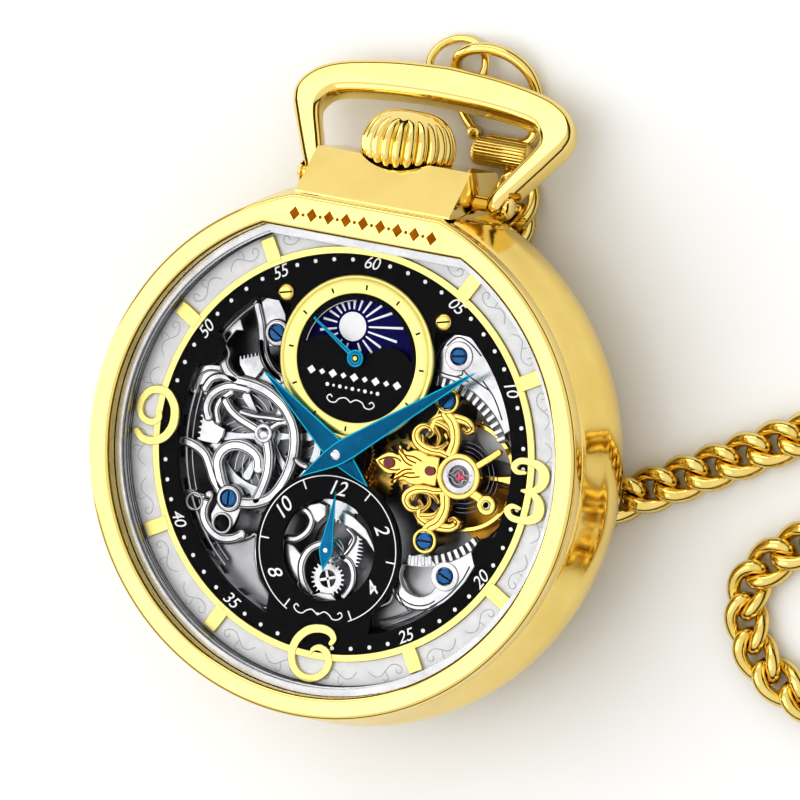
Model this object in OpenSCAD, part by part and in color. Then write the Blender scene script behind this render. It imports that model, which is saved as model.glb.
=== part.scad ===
// Open-dial pocket watch with dual time, sun disc, bow, crown and curb chain.
// +Z points up out of the dial, +Y to 12 o'clock, +X to 3 o'clock.
// The origin is the centre of the case back's flat rest face.

/* [Case] */
// Radius of the case at its widest
case_r = 24; // [23.5:0.1:24.5]
// Height of the widest line above the rest face
case_wide_z = 9.1; // [8.8:0.1:9.4]
// Overall thickness, from rest face to bezel front
case_h = 17; // [16.8:0.1:17.2]
// Radius of the bezel's opening
opening_r = 20.95; // [20.9:0.01:21]
// Distance from the centre to the opening's straight top edge
chord_y = 18.76; // [18.7:0.01:18.8]
// Outer radius of the raised back ring that the watch rests on
foot_r = 15; // [14.8:0.1:15.2]

/* [Dial] */
// Height of the dial's top face
dial_z = 13.8; // [13.7:0.05:13.8]
// Radius of the dial plate
dial_r = 18; // [17.9:0.05:18]
// Distance of each sub-dial's centre from the middle
sub_y = 8.45; // [8.45:0.01:8.46]
// Outer radius of the upper sub-dial's ring
upper_ring_r = 7.25; // [7.1:0.05:7.4]
// Outer radius of the lower sub-dial's ring
dual_ring_r = 6.8; // [6.6:0.05:6.9]

/* [Hands] */
// Angle of the minute hand, clockwise from 12
minute_angle = 51.3; // [40:0.1:56]
// Angle of the hour hand, clockwise from 12
hour_angle = -54.1; // [-60:0.1:-48]
// Angle of the small seconds hand, clockwise from 12
seconds_angle = -57.2; // [-70:0.1:-40]
// Length of the minute hand from its axis
minute_len = 14.9; // [14:0.1:15.2]
// Length of the hour hand from its axis
hour_len = 10.1; // [9.5:0.1:10.5]

/* [Bow] */
// Angle that the bow lies back from level, in degrees
bow_tilt = 31.5; // [31:0.5:31.5]
// Distance of the bow's hinge from the middle
hinge_y = 23.2; // [23.1:0.1:23.3]
// Height of the bow's hinge
hinge_z = 8.6; // [8.5:0.1:8.7]
// Thickness of the bow
bow_t = 2.4; // [2.2:0.1:2.4]

/* [Crown] */
// Radius of the crown
crown_r = 4.2; // [4:0.1:4.3]
// Height of the winding stem's axis
stem_z = 9.5; // [9.5:0.1:9.6]
// Number of flutes round the crown
flutes = 22; // [16:1:26]

/* [Chain] */
// Width of the chain
chain_w = 3.8; // [3.6:0.1:3.8]
// Height of the chain as it lies
chain_h = 2.2; // [2:0.1:2.3]

/* [Hidden] */
$fn = 96;
eps = 0.01;
gold = [0.85, 0.70, 0.28];
steel = [0.82, 0.83, 0.85];
blue = [0.05, 0.45, 0.70];
dark = [0.07, 0.07, 0.08];
brass = [0.80, 0.62, 0.25];
ruby = [0.55, 0.05, 0.12];

// Wheel centres in plan.
upper_c = [0, sub_y];
dual_c = [0, -sub_y];
barrel_c = [-8.1, 0];
escape_c = [4.3, 0];
fork_c = [8.2, 0];
balance_c = [10.8, 0];
minute_c = [1.93, -2.3];
dual_idler_c = [0, -sub_y / 2];
day_idler_c = [0, 3.02];
crown_wheel_c = [-3.8, 7.68];
third_c = [4.404, 5.115];
rotor_r = 12.7;

// Gear sizes: module of each mesh in millimetres, then the tooth counts.
m_barrel = 0.1929;
m_centre = 0.15;
m_third = 0.13;
m_motion = 0.12;
m_cannon = 0.125;
m_wind = 0.2;
barrel_n = 72;
centre_pinion_n = 12;
centre_n = 80;
third_pinion_n = 10;
third_n = 75;
fourth_pinion_n = 10;
fourth_n = 70;
transfer_n = 40;
escape_pinion_n = 7;
escape_n = 15;
cannon_n = 12;
minute_n = 36;
minute_pinion_n = 10;
hour_n = 40;
idler_n = 30;
dual_n = 40;
day_idler_n = 10;
day_n = 80;
ratchet_n = 56;
crown_wheel_n = 32;

// The fourth, transfer and escape wheels stand in one line, and their module closes it.
escape_gap = norm(upper_c - escape_c);
m_escape = 2 * escape_gap / (fourth_n + 2 * transfer_n + escape_pinion_n);
to_escape = (escape_c - upper_c) / escape_gap;
transfer_c = upper_c + to_escape * m_escape * (fourth_n + transfer_n) / 2;

// Levels of the movement, each the lower face of a layer.
plate_z = 8.5;
plate_top = 10.2;
bridge_z = 12;
bridge_top = 12.9;
barrel_z = 10.4;
ratchet_z = 11.6;
centre_z = 7.4;
third_z = 6.7;
fourth_z = 7.95;
escape_z = 10.4;
motion_z = 12.25;
balance_z = 11.3;
cock_z = 12.6;
cock_top = 13.4;

function polar(r, a) = [r * cos(a), r * sin(a)];
function heading(a, b) = atan2(b[1] - a[1], b[0] - a[0]);

// Phase of a gear of n_b teeth that meshes with a gear of n_a teeth and phase a, at direction th.
function mesh(a, n_a, th, n_b) = th + 180 - ((a - th) * n_a / 360 + 0.5) * 360 / n_b;

// Outline of a gear: each tooth is a trapezoid with its centre on phase + i * pitch.
function gear_points(n, m, phase) = [
    for (i = [0 : n - 1], k = [0 : 3])
        polar(m * (n / 2 + (k == 0 || k == 3 ? -1.1 : 0.8)),
              phase + 360 / n * (i + [-0.25, -0.1, 0.1, 0.25][k]))];

module gear(c, n, m, z, h, phase) {
    translate([c[0], c[1], z]) linear_extrude(h) polygon(gear_points(n, m, phase));
}

module disc(c, r, z, h) {
    translate([c[0], c[1], z]) cylinder(r = r, h = h);
}

module ring(c, r_in, r_out, z, h) {
    difference() {
        disc(c, r_out, z, h);
        disc(c, r_in, z - eps, h + 2 * eps);
    }
}

// A spoked wheel: gear teeth, open between hub and rim, with straight arms.
module spoked(c, n, m, z, h, phase, arms, hub, rim) {
    difference() {
        gear(c, n, m, z, h, phase);
        difference() {
            disc(c, m * n / 2 - rim, z - eps, h + 2 * eps);
            disc(c, hub, z - 1, h + 2);
            for (i = [0 : arms - 1])
                translate([c[0], c[1], z - 1]) rotate(phase + i * 360 / arms)
                    translate([0, -rim / 2, 0]) cube([m * n / 2, rim, h + 2]);
        }
    }
}

// Space inside a circle whose top is cut straight across at y = cut.
module cut_circle(r, cut, z, h) {
    intersection() {
        disc([0, 0], r, z, h);
        translate([-r - 1, -r - 1, z - 1]) cube([2 * r + 2, r + 1 + cut, h + 2]);
    }
}

module cut_ring(r_in, cut_in, r_out, cut_out, z, h) {
    difference() {
        cut_circle(r_out, cut_out, z, h);
        cut_circle(r_in, cut_in, z - eps, h + 2 * eps);
    }
}

module along_y(x, y, z, r, len) {
    translate([x, y, z]) rotate([-90, 0, 0]) cylinder(r = r, h = len);
}

module along_x(x, y, z, r, len) {
    translate([x, y, z]) rotate([0, 90, 0]) cylinder(r = r, h = len);
}

// ---- Case ----

foot_in = 13.4;
case_join_z = 5.6;
case_top_z = 14.75;
bezel_z = 15;
bezel_r = 22.9;
bezel_cut_y = 21.85;
cavity_r = 20.3;

module case_back() {
    color(gold) rotate_extrude() polygon([
        [foot_in, 0], [foot_r - 0.4, 0], [foot_r, 0.4], [foot_r, 2.2], [foot_r + 0.5, 2.8],
        [20, 3], [21.4, 3.8], [22.2, 4.8], [22.2, case_join_z], [20.6, case_join_z], [20.6, 4.1],
        [14, 4.1], [14, 1.9], [12.7, 1.9], [12.7, 1.3], [foot_in, 1.3]]);
}

module back_crystal() {
    color([0.8, 0.9, 0.95, 0.4]) rotate_extrude() polygon([
        [0, 0], [foot_in - 0.2, 0], [foot_in - 0.05, 0.15], [foot_in - 0.05, 1.3], [0, 1.3]]);
}

module back_gasket() {
    color(dark) ring([0, 0], 20.7, 21.2, case_join_z, 0.3);
}

module case_outer() {
    rotate_extrude() polygon([
        [0, case_join_z], [22.2, case_join_z], [23.15, 6.6], [case_r - 0.25, 7.8],
        [case_r, case_wide_z], [case_r - 0.15, 10.4], [case_r - 0.5, 11.6], [case_r - 0.65, 12.2],
        [bezel_r, 14.3], [22.6, case_top_z], [0, case_top_z]]);
}

module case_middle() {
    color(gold) difference() {
        case_outer();
        disc([0, 0], cavity_r, case_join_z - 1, 20);
        disc([0, 0], 21.3, 13.5, 5);
        ring([0, 0], 20.65, 21.25, case_join_z - 0.1, 0.4 + eps);
        along_y(0, 15, stem_z, 2.2, 12);
        // Pockets that clear the bow's two ends over its whole swing, and bores for its screws.
        for (s = [-1, 1]) {
            translate([s * 9.05 - 1.7, 21.7, 6.9]) cube([3.4, 4, 8]);
            along_x(s * 6.3 - 1.5, hinge_y, hinge_z, 0.7, 3);
        }
    }
}

// The pendant: a sloped block that joins the case to the bow and shields the crown.
pendant_half = 7.3;
module pendant() {
    color(gold) difference() {
        translate([-pendant_half, 0, 0]) rotate([90, 0, 90]) linear_extrude(2 * pendant_half)
            polygon([[20, 5.62], [22.4, 5.62], [25.4, 5.9], [25.9, 6.5], [25.9, 12.3], [22, 15.75], [20, 15.9]]);
        case_outer();
        cut_circle(bezel_r + 0.02, bezel_cut_y + 0.02, case_top_z - 1, 4);
        for (s = [-1, 1]) translate([s * pendant_half, 26.5, 0])
            rotate(s * 45) translate([-1.1, -1.1, 0]) cube([2.2, 2.2, 20]);
        along_y(0, 24.3, stem_z, crown_r + 0.35, 3);
        along_y(0, 18, stem_z, 2.2, 8);
        for (s = [-1, 1]) along_x(s * 6.3 - 1.5, hinge_y, hinge_z, 0.7, 3);
    }
}

module pendant_tube() {
    color(steel) difference() {
        along_y(0, 20.6, stem_z, 2.15, 6.6);
        along_y(0, 20, stem_z, 0.75, 8);
    }
}

module front_bezel() {
    color(gold) difference() {
        rotate_extrude() polygon([[15, case_top_z], [22.3, case_top_z], [22.3, bezel_z],
            [bezel_r, bezel_z], [bezel_r, case_h - 0.5], [bezel_r - 0.5, case_h], [15, case_h]]);
        cut_circle(opening_r, chord_y, case_top_z - 1, 5);
        translate([-10, bezel_cut_y, case_top_z - 1]) cube([20, 5, 5]);
    }
}

module front_crystal() {
    color([0.85, 0.93, 1, 0.25]) cut_circle(opening_r - 0.05, chord_y - 0.05, 15.7, 1.1);
}

module crystal_gasket() {
    color(dark) cut_ring(20.3, 18.1, opening_r - 0.05, chord_y - 0.05, 15.3, 0.35);
}

module rehaut() {
    color(steel) cut_ring(20.15, 17.95, opening_r - 0.05, chord_y - 0.06, 13.78, 1.45);
}

// ---- Dial ----

module chapter_ring() {
    color(steel) cut_ring(dial_r + 0.05, 30, 20.9, chord_y, 13.5, 0.25);
}

// Kidney openings beside the sub-dials; side is 1 on the right and -1 on the left.
module side_opening(side, z, h) {
    difference() {
        disc([0, 0], 15.8, z, h);
        disc(upper_c, upper_ring_r, z - 1, h + 2);
        disc(dual_c, dual_ring_r, z - 1, h + 2);
        translate([-6.9, 6, z - 1]) cube([13.8, 10, h + 2]);
        translate([-2.1, -3, z - 1]) cube([4.2, 6, h + 2]);
        translate([-4.9, -16, z - 1]) cube([9.8, 5, h + 2]);
        translate([-20, 12.1, z - 1]) cube([40, 9, h + 2]);
        translate([side > 0 ? -40 : 0, -20, z - 1]) cube([40, 40, h + 2]);
        disc([-14.3, 7], 1.7, z - 1, h + 2);
        disc([15.1, -6.2], 1.7, z - 1, h + 2);
    }
}

// The window over the sun disc: a half round with two hills along its lower edge.
module sun_window(z, h) {
    difference() {
        disc(upper_c, 5.15, z, h);
        translate([-8, 0, z - 1]) cube([16, 8.95, h + 2]);
        for (s = [-1, 1]) disc([s * 3.1, 7.55], 2.35, z - 1, h + 2);
    }
}

dial_t = 0.4;
module dial_plate() {
    z = dial_z - dial_t - 1;
    h = dial_t + 2;
    color(dark) difference() {
        disc([0, 0], dial_r, dial_z - dial_t, dial_t);
        side_opening(1, z, h);
        side_opening(-1, z, h);
        sun_window(z, h);
        disc(upper_c, 0.4, z, h);
        disc(dual_c, 4.44, z, h);
        disc([0, 0], 1.3, z, h);
        for (s = [-1, 1]) disc([s * 7.5, 12.95], 0.45, z, h);
    }
}

// Raised minute ring, hour blocks and the large 3, 6 and 9, all one pressing.
module hour_markers() {
    color(gold) intersection() {
        union() {
            ring([0, 0], 17.4, dial_r + 0.05, dial_z, 0.25);
            for (h = [1, 2, 4, 5, 7, 8, 10, 11]) rotate(-30 * h)
                translate([-0.68, 17.7, dial_z]) cube([1.36, 2.3, 0.3]);
            ring([0, -18], 1.4, 2.1, dial_z, 0.3);
            ring([-18, 0], 1.4, 2.1, dial_z, 0.3);
            ring([17.7, 1.4], 0.7, 1.35, dial_z, 0.3);
            ring([17.7, -1.4], 0.7, 1.35, dial_z, 0.3);
        }
        cut_circle(20.1, 17.9, dial_z - 1, 3);
    }
}

module upper_subdial() {
    color(gold) ring(upper_c, 5.6, upper_ring_r, dial_z, 0.25);
}

module dual_subdial() {
    color(dark) ring(dual_c, 4.44, dual_ring_r, dial_z, 0.15);
}

module dial_screws() {
    color(gold) for (s = [-1, 1]) difference() {
        union() {
            disc([s * 7.5, 12.95], 0.75, dial_z, 0.25);
            disc([s * 7.5, 12.95], 0.42, dial_z - 0.8, 0.9);
        }
        translate([s * 7.5 - 1, 12.86, dial_z + 0.13]) cube([2, 0.18, 1]);
    }
}

module sun_disc() {
    difference() {
        union() {
            color([0.02, 0.02, 0.3]) disc(upper_c, 5.2, 13, 0.15);
            color(brass) gear(upper_c, day_n, m_motion, 12.7, 0.31, day_idler_mesh);
        }
        disc(upper_c, 0.3, 12, 3);
    }
}

// ---- Hands ----

// A lance-shaped hand, clockwise angle from 12, with a tail and a hub bore.
module lance_hand(c, angle, len, tail, half_w, z, h, bore) {
    translate([c[0], c[1], z]) rotate(-angle) difference() {
        union() {
            linear_extrude(h) polygon([[0, len], [-half_w, half_w], [-half_w * 0.75, -0.6],
                [0, -tail], [half_w * 0.75, -0.6], [half_w, half_w]]);
            cylinder(r = bore + 0.35, h = h);
        }
        translate([0, 0, -1]) cylinder(r = bore, h = h + 2);
    }
}

module seconds_hand() {
    color(blue) translate([0, sub_y, 14.12]) rotate(-seconds_angle) difference() {
        union() {
            cylinder(r = 0.75, h = 0.15);
            translate([-0.16, 0.5, 0]) cube([0.32, 4.7, 0.15]);
        }
        translate([0, 0, -1]) cylinder(r = 0.22, h = 3);
    }
}

module dual_hand() {
    color(blue) lance_hand(dual_c, 0, 5.2, 1.8, 0.68, 14.12, 0.15, 0.22);
    color(brass) {
        spoked(dual_c, dual_n, m_motion, motion_z, 0.25, dual_mesh, 4, 0.6, 0.35);
        disc(dual_c, 0.215, plate_top + 0.02, 4.08);
    }
}

module hour_hand() {
    color(blue) lance_hand([0, 0], hour_angle, hour_len, 3.9, 1.15, 14.45, 0.25, 1.14);
    color(brass) difference() {
        union() {
            disc([0, 0], 1.15, motion_z, 2.5);
            gear([0, 0], hour_n, m_motion, motion_z, 0.25, 0);
        }
        disc([0, 0], 0.8, 11, 5);
    }
}

module minute_hand() {
    color(blue) lance_hand([0, 0], minute_angle, minute_len, 4, 1.15, 14.95, 0.25, 0.74);
    color(steel) difference() {
        union() {
            disc([0, 0], 0.75, 11.45, 3.85);
            gear([0, 0], cannon_n, m_cannon, 11.45, 0.35, 0);
        }
        disc([0, 0], 0.4, 11, 3.6);
    }
}

// ---- Bow, its loop and the swivel clasp ----

// Half outline of the bow in its own plane, outer edge then inner edge, from the hinge up.
bow_outer = [[9.7, 0], [13.3, 6.6], [13.35, 7.6], [12.9, 8.9], [11.7, 10.2], [9.4, 11.2], [5, 12]];
bow_inner = [[7.9, 0.4], [10.35, 5.9], [10.3, 6.9], [9.4, 7.8], [5, 8.55]];
bow_top = [12.35, 8.75];

function mirrored(p) = [for (i = [len(p) - 1 : -1 : 0]) [-p[i][0], p[i][1]]];
function reversed(p) = [for (i = [len(p) - 1 : -1 : 0]) p[i]];

module in_bow_plane() {
    translate([0, hinge_y, hinge_z]) rotate([-bow_tilt, 0, 0]) children();
}

module bow() {
    color(gold) in_bow_plane() difference() {
        union() {
            translate([0, 0, -bow_t / 2]) linear_extrude(bow_t) polygon(concat(
                bow_outer, [[0, bow_top[0]]], mirrored(bow_outer),
                [for (p = bow_inner) [-p[0], p[1]]], [[0, bow_top[1]]], reversed(bow_inner)));
            for (s = [-1, 1]) along_x(s * 8.75 - 0.95, 0, 0, bow_t / 2, 1.9);
        }
        for (s = [-1, 1]) {
            along_x(s * 8.75 - 2, 0, 0, 0.75, 4);
            along_x(s * 10.75 - 1, 0, 0, 1.42, 2);
        }
    }
}

// Points of a closed or open tube: each ring has its sides round a point of the route.
function tube_rings(path, half_w, half_h, sides, closed) = [
    for (i = [0 : len(path) - 1]) let (
        n = len(path),
        a = path[closed ? (i + n - 1) % n : max(i - 1, 0)],
        b = path[closed ? (i + 1) % n : min(i + 1, n - 1)],
        t = (b - a) / norm(b - a),
        side = [t[1], -t[0], 0] / norm([t[1], t[0], 0]))
    for (k = [0 : sides - 1])
        path[i] + side * half_w * cos(360 / sides * k) + [0, 0, half_h * sin(360 / sides * k)]];

module tube(path, half_w, half_h, sides, closed = false) {
    n = len(path);
    faces = [for (i = [0 : closed ? n - 1 : n - 2], k = [0 : sides - 1]) let (
        j = (i + 1) % n, l = (k + 1) % sides)
        [i * sides + k, i * sides + l, j * sides + l, j * sides + k]];
    ends = closed ? [] : [[for (k = [sides - 1 : -1 : 0]) k],
        [for (k = [0 : sides - 1]) (n - 1) * sides + k]];
    polyhedron(points = tube_rings(path, half_w, half_h, sides, closed), faces = concat(faces, ends));
}

// A thin wire loop brazed to the bow's top edge; the clasp hangs in it.
loop_path = [[-2.4, 33.3, 1.9], [-2.5, 34.4, 1.5], [-2, 35.6, 1], [-0.9, 36.4, 0.6], [0.2, 36.6, 0.5],
    [1.3, 36.4, 0.6], [2.3, 35.6, 1], [2.8, 34.4, 1.5], [2.7, 33.3, 1.9]];
module bow_loop() {
    color(gold) tube(loop_path, 0.38, 0.38, 10);
}

module bow_screws() {
    color(gold) for (s = [-1, 1]) {
        along_x(s * 7.5 - 2.35, hinge_y, hinge_z, 0.69, 4.7);
        translate([s * 9.8, hinge_y, hinge_z]) rotate([0, s * 90, 0])
            cylinder(r1 = 1.35, r2 = 0.35, h = 0.9);
    }
}

// Swivel clasp: an oval hook through the loop, a sprung gate on its left and a round base.
hook_path = [[3.6, 28.6, 0.75], [7.5, 28.6, 0.75], [8, 29.7, 0.6], [7.9, 31.5, 0.53], [7.6, 33.2, 0.7],
    [6.7, 34.7, 1.3], [5.2, 35.7, 1.75], [3.4, 36.1, 1.95], [1.6, 35.9, 1.95], [0.2, 35.2, 1.5],
    [-0.3, 34.3, 0.85], [-0.2, 33.3, 0.53]];
gate_path = [[-0.1, 32.6, 0.53], [0.3, 31.3, 0.53], [1.1, 29.9, 0.6], [2.1, 28.9, 0.7]];
gate_pin = [2.4, 28.6];
module clasp_hook() {
    color(gold) tube(hook_path, 0.5, 0.5, 10);
}

module clasp_gate() {
    color(gold) {
        tube(gate_path, 0.48, 0.48, 10);
        disc(gate_pin, 0.6, 0.2, 1.1);
    }
}

module clasp_base() {
    color(gold) difference() {
        union() {
            along_x(3.45, 27.1, 1.15, 1.1, 4.75);
            along_x(3.6, 27.9, 0.8, 0.6, 4.2);
        }
        along_x(5.4, 27.1, 1.15, 0.9, 0.15);
    }
}

// ---- Crown and stem ----

crown_y = 24.7;
crown_len = 5.4;
module crown() {
    color(gold) difference() {
        translate([0, crown_y, stem_z]) rotate([-90, 0, 0]) rotate_extrude() polygon([
            [0, 0], [3.1, 0], [3.8, 0.7], [crown_r, 1.9], [crown_r, 2.9], [3.75, 4.1],
            [2.9, 4.9], [1.6, crown_len], [0, crown_len]]);
        along_y(0, crown_y - 1, stem_z, 2.35, 4.2);
        for (i = [0 : flutes - 1]) translate([0, 0, stem_z]) rotate([0, 360 / flutes * i, 0])
            along_y(crown_r + 0.1, crown_y - 0.5, 0, 0.3, 5);
    }
    color(steel) {
        along_y(0, 9.8, stem_z, 0.65, crown_y - 9.8 + 4);
        translate([0, 10.2, stem_z]) rotate([-90, 0, 0]) linear_extrude(1)
            polygon(gear_points(14, 0.16, 0));
    }
}

module crown_seal() {
    color(dark) translate([0, crown_y + 0.4, stem_z]) rotate([-90, 0, 0]) rotate_extrude()
        translate([2.25, 0]) square([0.08, 0.6]);
}

// ---- Movement frame ----

module movement_ring() {
    color(steel) difference() {
        ring([0, 0], 17.5, 20.25, 6, 7.4);
        along_y(0, 15, stem_z, 1.2, 8);
    }
}

module main_plate() {
    z = plate_z - 1;
    h = plate_top - plate_z + 2;
    color(steel) difference() {
        disc([0, 0], 17.4, plate_z, plate_top - plate_z);
        translate([-1.3, 9.3, z]) cube([2.6, 10, h]);
        disc([0, 0], 0.4, z, h);
        disc(upper_c, 0.25, z, h);
        disc(escape_c, 0.25, z, h);
        disc(third_c, 0.25, z, h);
        disc(barrel_c, 0.66, z, h);
        disc([10.8, -11.2], 2.6, z, h);
        disc([-8, -12.4], 2, z, h);
    }
}

pillar_angles = [35, 145, 215, 325];
module pillars() {
    color(steel) for (a = pillar_angles) translate([15.2 * cos(a), 15.2 * sin(a), 6.2])
        cylinder(r = 1, h = plate_z - 6.2);
}

module train_bridge() {
    color(steel) difference() {
        disc([0, 0], 17.3, 4.9, 1.3);
        disc([0, 0], 1.25, 4, 3);
        for (a = [0, 180]) disc(polar(8.6, a), 3.4, 4, 3);
        disc([0, -9.6], 3.2, 4, 3);
        disc(upper_c, 0.21, 5.6, 3);
        disc(third_c, 0.21, 5.6, 3);
    }
}

module dial_support() {
    color(steel) difference() {
        ring([0, 0], 15.95, 17.4, plate_top, dial_z - dial_t - plate_top);
        for (i = [0 : 35]) rotate(i * 10) translate([15, -0.5, plate_top + 0.8]) cube([3, 1, 1.6]);
        along_y(0, 12, stem_z, 1.1, 8);
    }
}

// ---- Barrel and winding ----

centre_mesh = mesh(0, barrel_n, 0, centre_pinion_n);
module barrel() {
    color(brass) difference() {
        union() {
            gear(barrel_c, barrel_n, m_barrel, barrel_z, 0.4, 0);
            disc(barrel_c, 6.3, barrel_z + 0.35, 0.75);
        }
        disc(barrel_c, 0.66, barrel_z - 1, 3);
        for (i = [0 : 11]) translate([barrel_c[0], barrel_c[1], barrel_z + 0.8])
            rotate(30 * i) translate([2.2, -0.3, 0]) cube([3.2, 0.6, 1]);
    }
}

module ratchet_wheel() {
    color(steel) {
        spoked(barrel_c, ratchet_n, m_wind, ratchet_z, 0.25, 0, 6, 1.6, 0.9);
        disc(barrel_c, 0.62, 9, 3.8);
    }
}

crown_wheel_mesh = mesh(0, ratchet_n, heading(barrel_c, crown_wheel_c), crown_wheel_n);
module crown_wheel() {
    color(steel) {
        gear(crown_wheel_c, crown_wheel_n, m_wind, ratchet_z, 0.25, crown_wheel_mesh);
        disc(crown_wheel_c, 0.5, plate_top + 0.02, ratchet_z - plate_top + 0.7);
    }
}

// Left bridge over the barrel: a ring round the hub with curved arms to its screws.
left_screws = [[-8.2, 9.2], [-10.4, -5.9]];
module barrel_bridge() {
    z = bridge_z + 0.1;
    h = bridge_top - z;
    color(steel) difference() {
        union() {
            ring(barrel_c, 4.3, 5.2, z, h);
            disc(barrel_c, 1.2, z, h);
            for (p = left_screws) disc(p, 1.15, z, h);
            ring([-8.9, 4.7], 3.6, 4.5, z, h);
            for (a = [55, 150, 262]) translate([barrel_c[0], barrel_c[1], z]) rotate(a)
                translate([0.9, -0.45, 0]) cube([3.9, 0.9, h]);
            translate([-14.6, -4.6, z]) rotate(38) cube([6.2, 0.9, h]);
        }
        disc(barrel_c, 0.65, z - 1, 3);
        for (p = left_screws) disc(p, 0.5, z - 1, 3);
    }
}

// Right and lower bridge: a plate under the dial, open over the balance and the wheels.
right_screws = [[9, 10.2], [10.8, -8.8]];
module skeleton_bridge() {
    z = bridge_z + 0.1;
    h = bridge_top - z;
    color(steel) difference() {
        disc([0, 0], 15.85, z, h);
        disc([7.4, 0], 8.3, z - 1, h + 2);
        disc([0, 0], 3.3, z - 1, h + 2);
        translate([-20, -20, z - 1]) cube([16.4, 40, h + 2]);
        disc(upper_c, 5.5, z - 1, h + 2);
        disc(day_idler_c, 1.2, z - 1, h + 2);
        disc(dual_c, 2.8, z - 1, h + 2);
        disc(dual_idler_c, 2.2, z - 1, h + 2);
        disc(crown_wheel_c, 3.6, z - 1, h + 2);
        disc(barrel_c, 5.3, z - 1, h + 2);
        disc([7.4, -11.8], 1.9, z - 1, h + 2);
        for (p = right_screws) disc(p, 0.5, z - 1, h + 2);
    }
}

cock_screws = [[8.7, 6.25], [8.6, -6.05]];
module screw(p, head_r, top, depth) {
    difference() {
        union() {
            disc(p, head_r, top, 0.3);
            disc(p, 0.45, top - depth, depth + 0.1);
        }
        translate([p[0] - 2, p[1] - 0.1, top + 0.15]) cube([4, 0.2, 1]);
    }
}

module bridge_screws() {
    color(blue) {
        for (p = concat(left_screws, right_screws)) screw(p, 0.8, bridge_top, 1.2);
        for (p = cock_screws) screw(p, 0.8, cock_top, 1.2);
    }
}

// ---- Going train ----

module centre_wheel() {
    color(brass) {
        spoked([0, 0], centre_n, m_centre, centre_z, 0.4, 0, 5, 1.1, 0.5);
        disc([0, 0], 0.37, 6.3, 8.1);
        gear([0, 0], centre_pinion_n, m_barrel, barrel_z - 0.05, 0.5, centre_mesh);
    }
}

third_mesh = mesh(0, centre_n, heading([0, 0], third_c), third_pinion_n);
module third_wheel() {
    color(brass) {
        spoked(third_c, third_n, m_third, third_z, 0.3, 0, 4, 0.9, 0.45);
        disc(third_c, 0.2, 5.7, 3.2);
        gear(third_c, third_pinion_n, m_centre, centre_z - 0.05, 0.5, third_mesh);
    }
}

fourth_mesh = mesh(0, third_n, heading(third_c, upper_c), fourth_pinion_n);
module fourth_wheel() {
    color(brass) {
        spoked(upper_c, fourth_n, m_escape, fourth_z, 0.25, 0, 4, 0.8, 0.4);
        disc(upper_c, 0.2, 5.7, 8.6);
        gear(upper_c, fourth_pinion_n, m_third, third_z - 0.05, 0.4, fourth_mesh);
    }
}

transfer_mesh = mesh(0, fourth_n, heading(upper_c, escape_c), transfer_n);
module transfer_wheel() {
    color(brass) {
        spoked(transfer_c, transfer_n, m_escape, fourth_z, 0.25, transfer_mesh, 3, 0.6, 0.35);
        disc(transfer_c, 0.3, 7.9, 0.58);
    }
}

// Club teeth are drawn as thin leaning spikes on the escape wheel's rim.
escape_r = 2.5;
escape_mesh = mesh(transfer_mesh, transfer_n, heading(upper_c, escape_c), escape_pinion_n);
module escape_wheel() {
    color(brass) {
        ring(escape_c, 1.6, 2, escape_z, 0.25);
        for (i = [0 : escape_n - 1]) translate([escape_c[0], escape_c[1], escape_z])
            rotate(24 * i + 12) linear_extrude(0.25)
                polygon([[1.9, -0.2], [escape_r, 0.08], [escape_r, 0.2], [1.9, 0.2]]);
        for (i = [0 : 4]) translate([escape_c[0], escape_c[1], escape_z]) rotate(72 * i)
            translate([0, -0.12, 0]) cube([1.8, 0.24, 0.25]);
        disc(escape_c, 0.2, 7.9, 4.98);
        gear(escape_c, escape_pinion_n, m_escape, fourth_z - 0.05, 0.35, escape_mesh);
    }
}

module pallet_fork() {
    color(steel) translate([fork_c[0], fork_c[1], escape_z]) difference() {
        union() {
            cylinder(r = 0.35, h = 0.35);
            translate([-0.9, -1.6, 0]) cube([0.3, 3.2, 0.25]);
            for (s = [-1, 1]) translate([-1.25, s * 1.5 - 0.15, 0]) cube([0.5, 0.3, 0.25]);
            translate([-0.9, -0.15, 0]) cube([2.2, 0.3, 0.25]);
        }
        translate([1.05, -0.09, -1]) cube([1, 0.18, 3]);
    }
}

module pallet_bridge() {
    color(steel) difference() {
        union() {
            translate([6.9, 0.3, 10.85]) cube([2.4, 0.8, 0.3]);
            disc([7, 2.8], 0.6, plate_top, 0.95);
            translate([6.9, 0.6, 10.85]) cube([0.6, 2.2, 0.3]);
            disc(fork_c, 0.55, 10.85, 0.3);
        }
        disc(fork_c, 0.15, 10, 3);
    }
}

// ---- Balance ----

module balance_wheel() {
    color(gold) {
        ring(balance_c, 4.4, 4.85, balance_z, 0.7);
        for (i = [0 : 2]) translate([balance_c[0], balance_c[1], balance_z + 0.2])
            rotate(120 * i + 5) translate([0, -0.3, 0]) cube([4.6, 0.6, 0.3]);
        disc(balance_c, 0.6, balance_z + 0.1, 0.8);
    }
    color(steel) {
        disc(balance_c, 0.2, 10.3, 2.6);
        difference() {
            disc(balance_c, 0.85, 10.62, 0.2);
            disc([balance_c[0] - 1.1, 0], 0.35, 10, 3);
        }
    }
}

// Flat spiral spring: its turns lie a fixed pitch apart between the collet and the stud.
spring_turns = 6;
function spiral(r0, pitch, a) = polar(r0 + pitch * a / 360, a);
module hairspring() {
    steps = spring_turns * 24;
    color(dark) translate([balance_c[0], balance_c[1], 12.15]) linear_extrude(0.12) polygon(concat(
        [for (i = [0 : steps]) spiral(0.85, 0.4, i * 15)],
        [for (i = [steps : -1 : 0]) spiral(0.93, 0.4, i * 15)]));
}

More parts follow.
